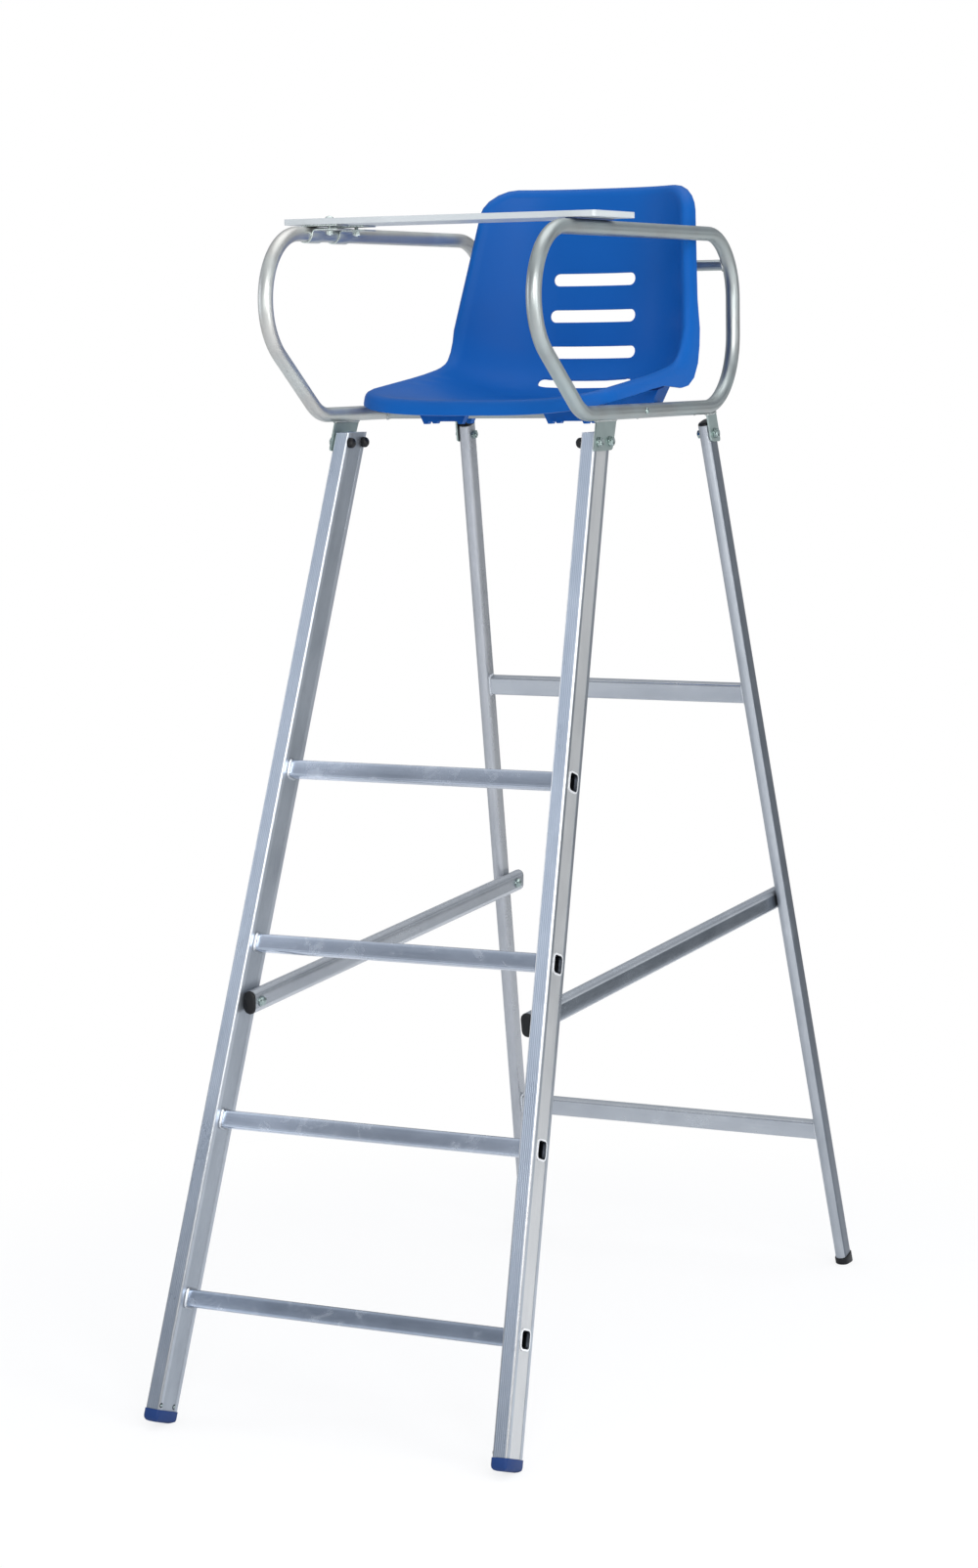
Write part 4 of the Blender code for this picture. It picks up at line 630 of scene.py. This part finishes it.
# %% Flat-oval bars
FLAT_SIDE, OVAL_FLATNESS = 0.96, 70
for node, side_look in side_painted_shade.items():
    bm = merged_copy(node)
    for face in bm.faces:
        face.material_index = 1 if abs(face.normal.x) > FLAT_SIDE else 0
    made = stand_in(node, bm, [bar_looks[node], side_look], flatness=OVAL_FLATNESS)
    print(node, "flat sides", sum(f.material_index for f in made.data.polygons))

# %% [markdown]
# ## Rungs
# Each rung is a square tube that goes through both stiles. Its ends are flared on the outside, and a collar
# holds it on the inner side. In the photograph flares and collars are brighter than the tube, the bore is
# dark, and the lowest rung is darker than the others. The flares get a painted highlight, the bore painted
# shade, and the lowest rung a darker copy of the tone, also painted shade. A rung's section leans with the
# ladder, so a face is sorted by how far it stands from the rung's own axis, in that leaning section.

# %% Rungs with bright collars, painted highlights on the flares and painted shade in the bores
LEAN, SPREAD = math.radians(19.26), math.radians(3.09)
RUNG_COUNT, RUNG_HALF = 4, 0.0135
FLARE_REACH, COLLAR_RISE = 0.008, 0.0006
AXIS_GAP = 0.0004  # a face that looks back at the axis, from farther than this, is in the bore
BORE, FLARE, COLLAR = 1, 2, 3
leaning_up = Vector((0, math.sin(LEAN), math.cos(LEAN)))
leaning_back = Vector((0, math.cos(LEAN), -math.sin(LEAN)))
for k in range(1, RUNG_COUNT + 1):
    node = f"ladder_rung_{k}"
    bm = merged_copy(node)
    low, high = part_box(node)
    middle = (low + high) / 2
    for face in bm.faces:
        out = face.calc_center_median() - middle
        out.x = 0
        corners = [v.co - middle for v in face.verts]
        reach = max(abs(p.dot(way)) for p in corners for way in (leaning_up, leaning_back))
        if face.normal.dot(out) < -AXIS_GAP:
            face.material_index = BORE
        elif reach > RUNG_HALF + COLLAR_RISE:
            at_end = abs(face.calc_center_median().x) > high.x - FLARE_REACH
            face.material_index = FLARE if at_end else COLLAR
    # Painted shade on the lowest rung and in the bore, and a painted highlight on the flares.
    looks = [low_rung_painted_shade if k == 1 else rung_bar, painted_shade_dark, painted_highlight_rim, weld_aluminium]
    stand_in(node, bm, looks, smooth=CRISP_ANGLE, flatness=PLATE_FLATNESS)
print("rungs", RUNG_COUNT)

# %% [markdown]
# ## Stiles
# A stile is a flat box section with a shallow channel along each side. In the photograph the channels and
# the lands beside them have tones of their own, and the rounded front corners shine as white lines. These
# are painted into the colours: the channels and lands get painted light and shade, and the corners a
# painted white highlight that fades towards the floor.
# Faces are sorted in the stile's own frame, because the ladder leans back and its stiles spread. On a side
# wall the distance from the middle tells a land from a channel. A sloping face is a corner or a small step.

# %% Stiles in four tones
STILE_HALF_WIDTH, STILE_HALF_DEPTH = 0.012, 0.029
CHANNEL_DIP, CHANNEL_EDGE, CORNER_ROUND = 0.0006, 0.0195, 0.0012
LAND_LIMIT = STILE_HALF_WIDTH - CHANNEL_DIP * 0.3
WALL_LIMIT = STILE_HALF_WIDTH - CHANNEL_DIP * 1.5
STRAIGHT, SLOPING = 0.95, 0.3
CHANNEL, LAND, CORNER = 1, 2, 3
HEAD_X, HEAD_Y, HEAD_Z = 0.21518, -0.1338, 1.52125


def stile_frame(sign):
    """X across the stile, Y to its back and Z along it, from the floor."""
    run = Vector((-sign * math.tan(SPREAD), math.tan(LEAN), 1))
    along = run.normalized()
    across = (Vector((1, 0, 0)) - along * along.x).normalized()
    made = Matrix((across, along.cross(across), along)).transposed().to_4x4()
    made.translation = Vector((sign * HEAD_X, HEAD_Y, HEAD_Z)) - run * HEAD_Z
    return made


def sort_stile_face(face, to_stile):
    """Which look a face of a stile gets: 0 for walls, or a channel's, a land's or a corner's."""
    middle = to_stile @ face.calc_center_median()
    far, back = abs(middle.x), middle.y
    sideways = abs((to_stile.to_3x3() @ face.normal).x)
    if sideways > STRAIGHT and far > WALL_LIMIT:
        return LAND if far > LAND_LIMIT else CHANNEL
    if sideways > SLOPING and (far > WALL_LIMIT or back < -STILE_HALF_DEPTH + CORNER_ROUND):
        return CORNER if back < 0 else LAND if back < CHANNEL_EDGE else 0
    return 0


for side, sign in SIDES.items():
    node = f"ladder_stile_{side}"
    bm = merged_copy(node)
    to_stile = stile_frame(sign).inverted()
    for face in bm.faces:
        face.material_index = sort_stile_face(face, to_stile)
    bm.edges.index_update()
    corner_lines = [e.index for e in bm.edges if sum(f.material_index == CORNER for f in e.link_faces) == 1]
    round_lines = [e.index for e in bm.edges if all(f.material_index == CORNER for f in e.link_faces)]
    looks = [bar_looks[node], channel_painted_light[side], land_painted_light[side], corner_painted_highlight[side]]
    made = stand_in(node, bm, looks, smooth=CRISP_ANGLE, flatness=PLATE_FLATNESS)
    for k in corner_lines:
        made.data.edges[k].use_edge_sharp = True
    for k in round_lines:
        made.data.edges[k].use_edge_sharp = False
    tally = [sum(f.material_index == k for f in made.data.polygons) for k in range(len(looks))]
    print(node, "faces on walls, channels, lands and corners", tally)

# %% [markdown]
# ## Ribs on the stiles
# The front of a ladder stile is often ribbed for a better grip. Real ribs are part of the extrusion.
# A bump could draw them, but real ridges also hold up close by. They are a thin corrugated strip on the
# front face: one outline with a wave along its front, extruded from the foot to the head. Each rib catches
# the lamps on its own flank. The valleys get painted shade, a little darker, so that the lines show at the
# picture's size.

# %% Ribs
STILE_TOP, STILE_FOOT, HEAD_GAP = 1.5037, 0.0239, 0.0006
RIB_COUNT, RIB_PITCH, RIB_TALL, RIB_POINTS = 6, 0.0031, 0.00025, 8
STRIP_SINK, STRIP_STAND, VALLEY_SHARE = 0.0002, 0.00005, 0.45
RIB_ANGLE = 50


def rib_strip(place):
    bm = bmesh.new()
    half = RIB_COUNT * RIB_PITCH / 2
    outline = [(way * half, -STILE_HALF_DEPTH + STRIP_SINK) for way in (1, -1)]
    for k in range(RIB_COUNT * RIB_POINTS + 1):
        wave = (1 - math.cos(2 * math.pi * k / RIB_POINTS)) / 2
        front = -STILE_HALF_DEPTH - STRIP_STAND - RIB_TALL * wave
        outline.append((-half + k * RIB_PITCH / RIB_POINTS, front))
    low = STILE_FOOT / place[2][2]
    high = (STILE_TOP + place[2][1] * STILE_HALF_DEPTH) / place[2][2] - HEAD_GAP
    face = bm.faces.new([bm.verts.new(place @ Vector((x, y, low))) for x, y in outline])
    made = bmesh.ops.extrude_face_region(bm, geom=[face])["geom"]
    rise = place.col[2].to_3d() * (high - low)
    bmesh.ops.translate(bm, verts=[g for g in made if isinstance(g, bmesh.types.BMVert)], vec=rise)
    bmesh.ops.recalc_face_normals(bm, faces=bm.faces)
    to_stile = place.inverted()
    for face in bm.faces:
        if (to_stile @ face.calc_center_median()).y > -STILE_HALF_DEPTH - RIB_TALL * VALLEY_SHARE:
            face.material_index = 1
    return bm


for side, sign in SIDES.items():
    node = f"ladder_stile_{side}"
    bm = rib_strip(stile_frame(sign))
    looks = [bar_looks[node], rib_valley_painted_shade]
    made = finish_piece(f"{node}_ribs", bm, looks, "frame", slot_of[node], smooth=RIB_ANGLE)
    print(made.name, "faces", len(made.data.polygons))

# %% [markdown]
# ## Rivets over the feet
# Two small blind rivets hold each plastic foot. A rivet is a bright domed head with a painted shadow round
# it: a flat, near black disc under the head.
# Both are spheres, pressed flat along the wall's own direction and half sunk in it. A turned profile would
# be closer to a real rivet, but at a few millimetres across it would look the same.

# %% Foot rivets
# Radius, flatness and look of the rim, a painted shadow, and of the head
RIVET_PARTS = ((0.0042, 0.12, 1), (0.0026, 0.5, 0))
RIVET_RISE, RIVET_PLACES = 0.0068, (-0.0235, 0.0155)
for side, sign in SIDES.items():
    place = stile_frame(sign)
    bm = bmesh.new()
    for radius, squash, look in RIVET_PARTS:
        for y in RIVET_PLACES:
            depth = STILE_HALF_WIDTH if abs(y) > CHANNEL_EDGE else STILE_HALF_WIDTH - CHANNEL_DIP
            spot = Vector((-sign * depth, y, STILE_FOOT / place[2][2] + RIVET_RISE))
            head = place @ Matrix.Translation(spot) @ Matrix.Diagonal((squash, 1, 1, 1))
            made = bmesh.ops.create_uvsphere(bm, u_segments=16, v_segments=10, radius=radius, matrix=head)
            for face in {f for v in made["verts"] for f in v.link_faces}:
                face.material_index = look
    finish_piece(f"foot_rivets_{side}", bm, [bright_zinc, painted_shade_dark], "frame", "zinc_fastener")
print("rivets", len(SIDES) * len(RIVET_PLACES))

# %% [markdown]
# ## Arm loops
# One length of tube, bent four times and closed into a loop. A curve with a round bevel could be that tube.
# Mesh operators are used instead, because a bender does to the tube what they do to a circle: extrude
# pushes it along a straight run, and spin carries it round a bend. The solids' loops have fewer facets.
# Every run starts where the last one ended, and the last one ends on the first circle.

# %% Arm loops by extrude and spin
TUBE = 0.0235
ARM_X, ARM_LOW, ARM_HIGH = 0.229, 1.533, 1.8158
ARM_FRONT, ARM_REAR = -0.3835, 0.3800
BEND, HEEL_BEND, KNEE_BEND = 0.105, 0.120, 0.080
SLANT = math.radians(37.8)
slant_run = Vector((0, math.cos(SLANT), -math.sin(SLANT)))
front_middle = Vector((0, ARM_FRONT + BEND, ARM_HIGH - BEND))
slant_start = front_middle - BEND * Vector((0, math.sin(SLANT), math.cos(SLANT)))
fall = slant_start.z - ARM_LOW
knee_trim = KNEE_BEND * math.tan(SLANT / 2)
slant_length = fall / math.sin(SLANT) - knee_trim
knee_middle = Vector((0, slant_start.y + fall / math.tan(SLANT) + knee_trim, ARM_LOW + KNEE_BEND))
heel_middle = Vector((0, ARM_REAR - HEEL_BEND, ARM_LOW + HEEL_BEND))
rear_middle = Vector((0, ARM_REAR - BEND, ARM_HIGH - BEND))
# Kind, middle of the bend or way of the run, angle and number of steps
ARM_STEPS = (
    ("bend", front_middle, math.pi - SLANT, 36),
    ("run", slant_run * slant_length, 0, 0),
    ("bend", knee_middle, SLANT, 12),
    ("run", Vector((0, heel_middle.y - knee_middle.y, 0)), 0, 0),
    ("bend", heel_middle, math.pi / 2, 24),
    ("run", Vector((0, 0, rear_middle.z - heel_middle.z)), 0, 0),
    ("bend", rear_middle, math.pi / 2, 24),
    ("run", Vector((0, front_middle.y - rear_middle.y, 0)), 0, 0),
)


def arm_loop(side_x):
    bm = bmesh.new()
    start = Matrix.Translation((side_x, front_middle.y, ARM_HIGH)) @ Matrix.Rotation(math.pi / 2, 4, "X")
    bmesh.ops.create_circle(bm, segments=32, radius=TUBE / 2, matrix=start)
    ring = bm.edges[:]
    for kind, move, angle, steps in ARM_STEPS:
        if kind == "run":
            made = bmesh.ops.extrude_edge_only(bm, edges=ring)["geom"]
            bmesh.ops.translate(bm, verts=[g for g in made if isinstance(g, bmesh.types.BMVert)], vec=move)
        else:
            geom = ring + list({v for e in ring for v in e.verts})
            turn = {"cent": move, "axis": (1, 0, 0), "angle": angle, "steps": steps}
            made = bmesh.ops.spin(bm, geom=geom, use_merge=False, **turn)["geom_last"]
        ring = [g for g in made if isinstance(g, bmesh.types.BMEdge)]
        ring = [e for e in ring if len(e.link_faces) == 1]
    bmesh.ops.remove_doubles(bm, verts=bm.verts, dist=MERGE)
    bmesh.ops.recalc_face_normals(bm, faces=bm.faces)
    return bm


for side, sign in SIDES.items():
    bm = arm_loop(sign * ARM_X)
    open_edges = sum(not e.is_manifold for e in bm.edges)
    node = f"arm_loop_{side}"
    # The left loop gets the lighter copy of the zinc: painted light.
    look = satin_zinc if side == "right" else left_loop_painted_light
    made = finish_piece(f"{node}_tube", bm, [look], body_of[node], slot_of[node])
    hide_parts(node)
    print(node, "open edges", open_edges)

# %% [markdown]
# ## Weld beads
# Cross tubes and brackets are welded to the arm loops, and the rear crossbars to the legs. A hand-laid
# bead is a row of drops that froze one over the other, so it is made that way: small spheres, each one
# a little bigger or smaller than the last, along the line where two pieces meet. For a tube, that line is
# the outer edge of its own cut end.

# %% Bead helpers
DROP_PITCH, DROP_CHANGE, DROP_WAVE = 0.8, 0.14, 2.3
ACROSS_TUBE = Vector((0, 1, 1))


def end_ring(node, sign):
    """Outer edge of a tube's cut end, as a closed line of points."""
    bm = merged_copy(node)
    bm.normal_update()
    near = [v for v in bm.verts if v.co.x * sign > 0]
    middle = sum((v.co for v in near), Vector()) / len(near)
    ring = [v.co.copy() for v in near if v.normal.dot((v.co - middle) * ACROSS_TUBE) > 0]
    bm.free()
    ring.sort(key=lambda p: math.atan2(p.z - middle.z, p.y - middle.y))
    return ring + ring[:1]


def weld_bead(bm, line, size):
    count = 0
    for start, stop in zip(line, line[1:]):
        steps = max(round((stop - start).length / (size * DROP_PITCH)), 1)
        for k in range(steps):
            count += 1
            drop = Matrix.Translation(start.lerp(stop, k / steps))
            grown = size * (1 + DROP_CHANGE * math.sin(DROP_WAVE * count))
            bmesh.ops.create_uvsphere(bm, u_segments=8, v_segments=6, radius=grown, matrix=drop)
    return count


print("bead helpers ready")

# %% Beads on tubes
TUBE_BEAD, BAR_BEAD, PLATE_BEAD = 0.0018, 0.0021, 0.0019
WELDED_TUBES = {
    "seat_crossbar_front": (weld_zinc, TUBE_BEAD),
    "seat_crossbar_rear": (weld_zinc, TUBE_BEAD),
    "back_crossbar": (weld_zinc, TUBE_BEAD),
    "rear_crossbar_upper": (weld_aluminium, BAR_BEAD),
    "rear_crossbar_lower": (weld_aluminium, BAR_BEAD),
}
for node, (look, size) in WELDED_TUBES.items():
    bm = bmesh.new()
    drops = sum(weld_bead(bm, end_ring(node, sign), size) for sign in SIDES.values())
    finish_piece(f"{node}_welds", bm, [look], "frame", slot_of[node])
    print(node, "drops", drops)

# %% Beads under the arm loops
CREST_HEIGHT = 0.012
for side in SIDES:
    for end in ("front", "rear"):
        node = f"{end}_bracket_{side}"
        plate = merged_copy(node)
        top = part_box(node)[1].z - CREST_HEIGHT
        crest = sorted((v.co.copy() for v in plate.verts if v.co.z > top), key=lambda p: p.y)
        plate.free()
        middle = sum(p.x for p in crest) / len(crest)
        bm = bmesh.new()
        rows = [[p for p in crest if (p.x - middle) * way > 0] for way in (-1, 1)]
        drops = sum(weld_bead(bm, row, PLATE_BEAD) for row in rows)
        finish_piece(f"{node}_weld", bm, [weld_zinc], "frame", slot_of[node])
        print(node, "drops", drops)

# %% [markdown]
# ## Seat shell
# The shell is the most modelled solid of the chair, with its rolled rim, slots and clips. A Subdivision
# Surface could round it further, but would pull its slots and thin rim out of shape. So it keeps its form
# and is shaded smooth, and only real folds stay sharp.

# %% Seat shell
FOLD_ANGLE = 42
shell = dress("seat_shell", seat_blue, smooth=FOLD_ANGLE)
print("seat shell faces", len(shell.data.polygons))

# %% [markdown]
# ## Size of the dressed chair
# The dressed chair should stay inside the solid chair's box. The box of the dressed chair is printed.

# %% Finish
low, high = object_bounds()
print("visual box", [round(x, 4) for x in high - low])
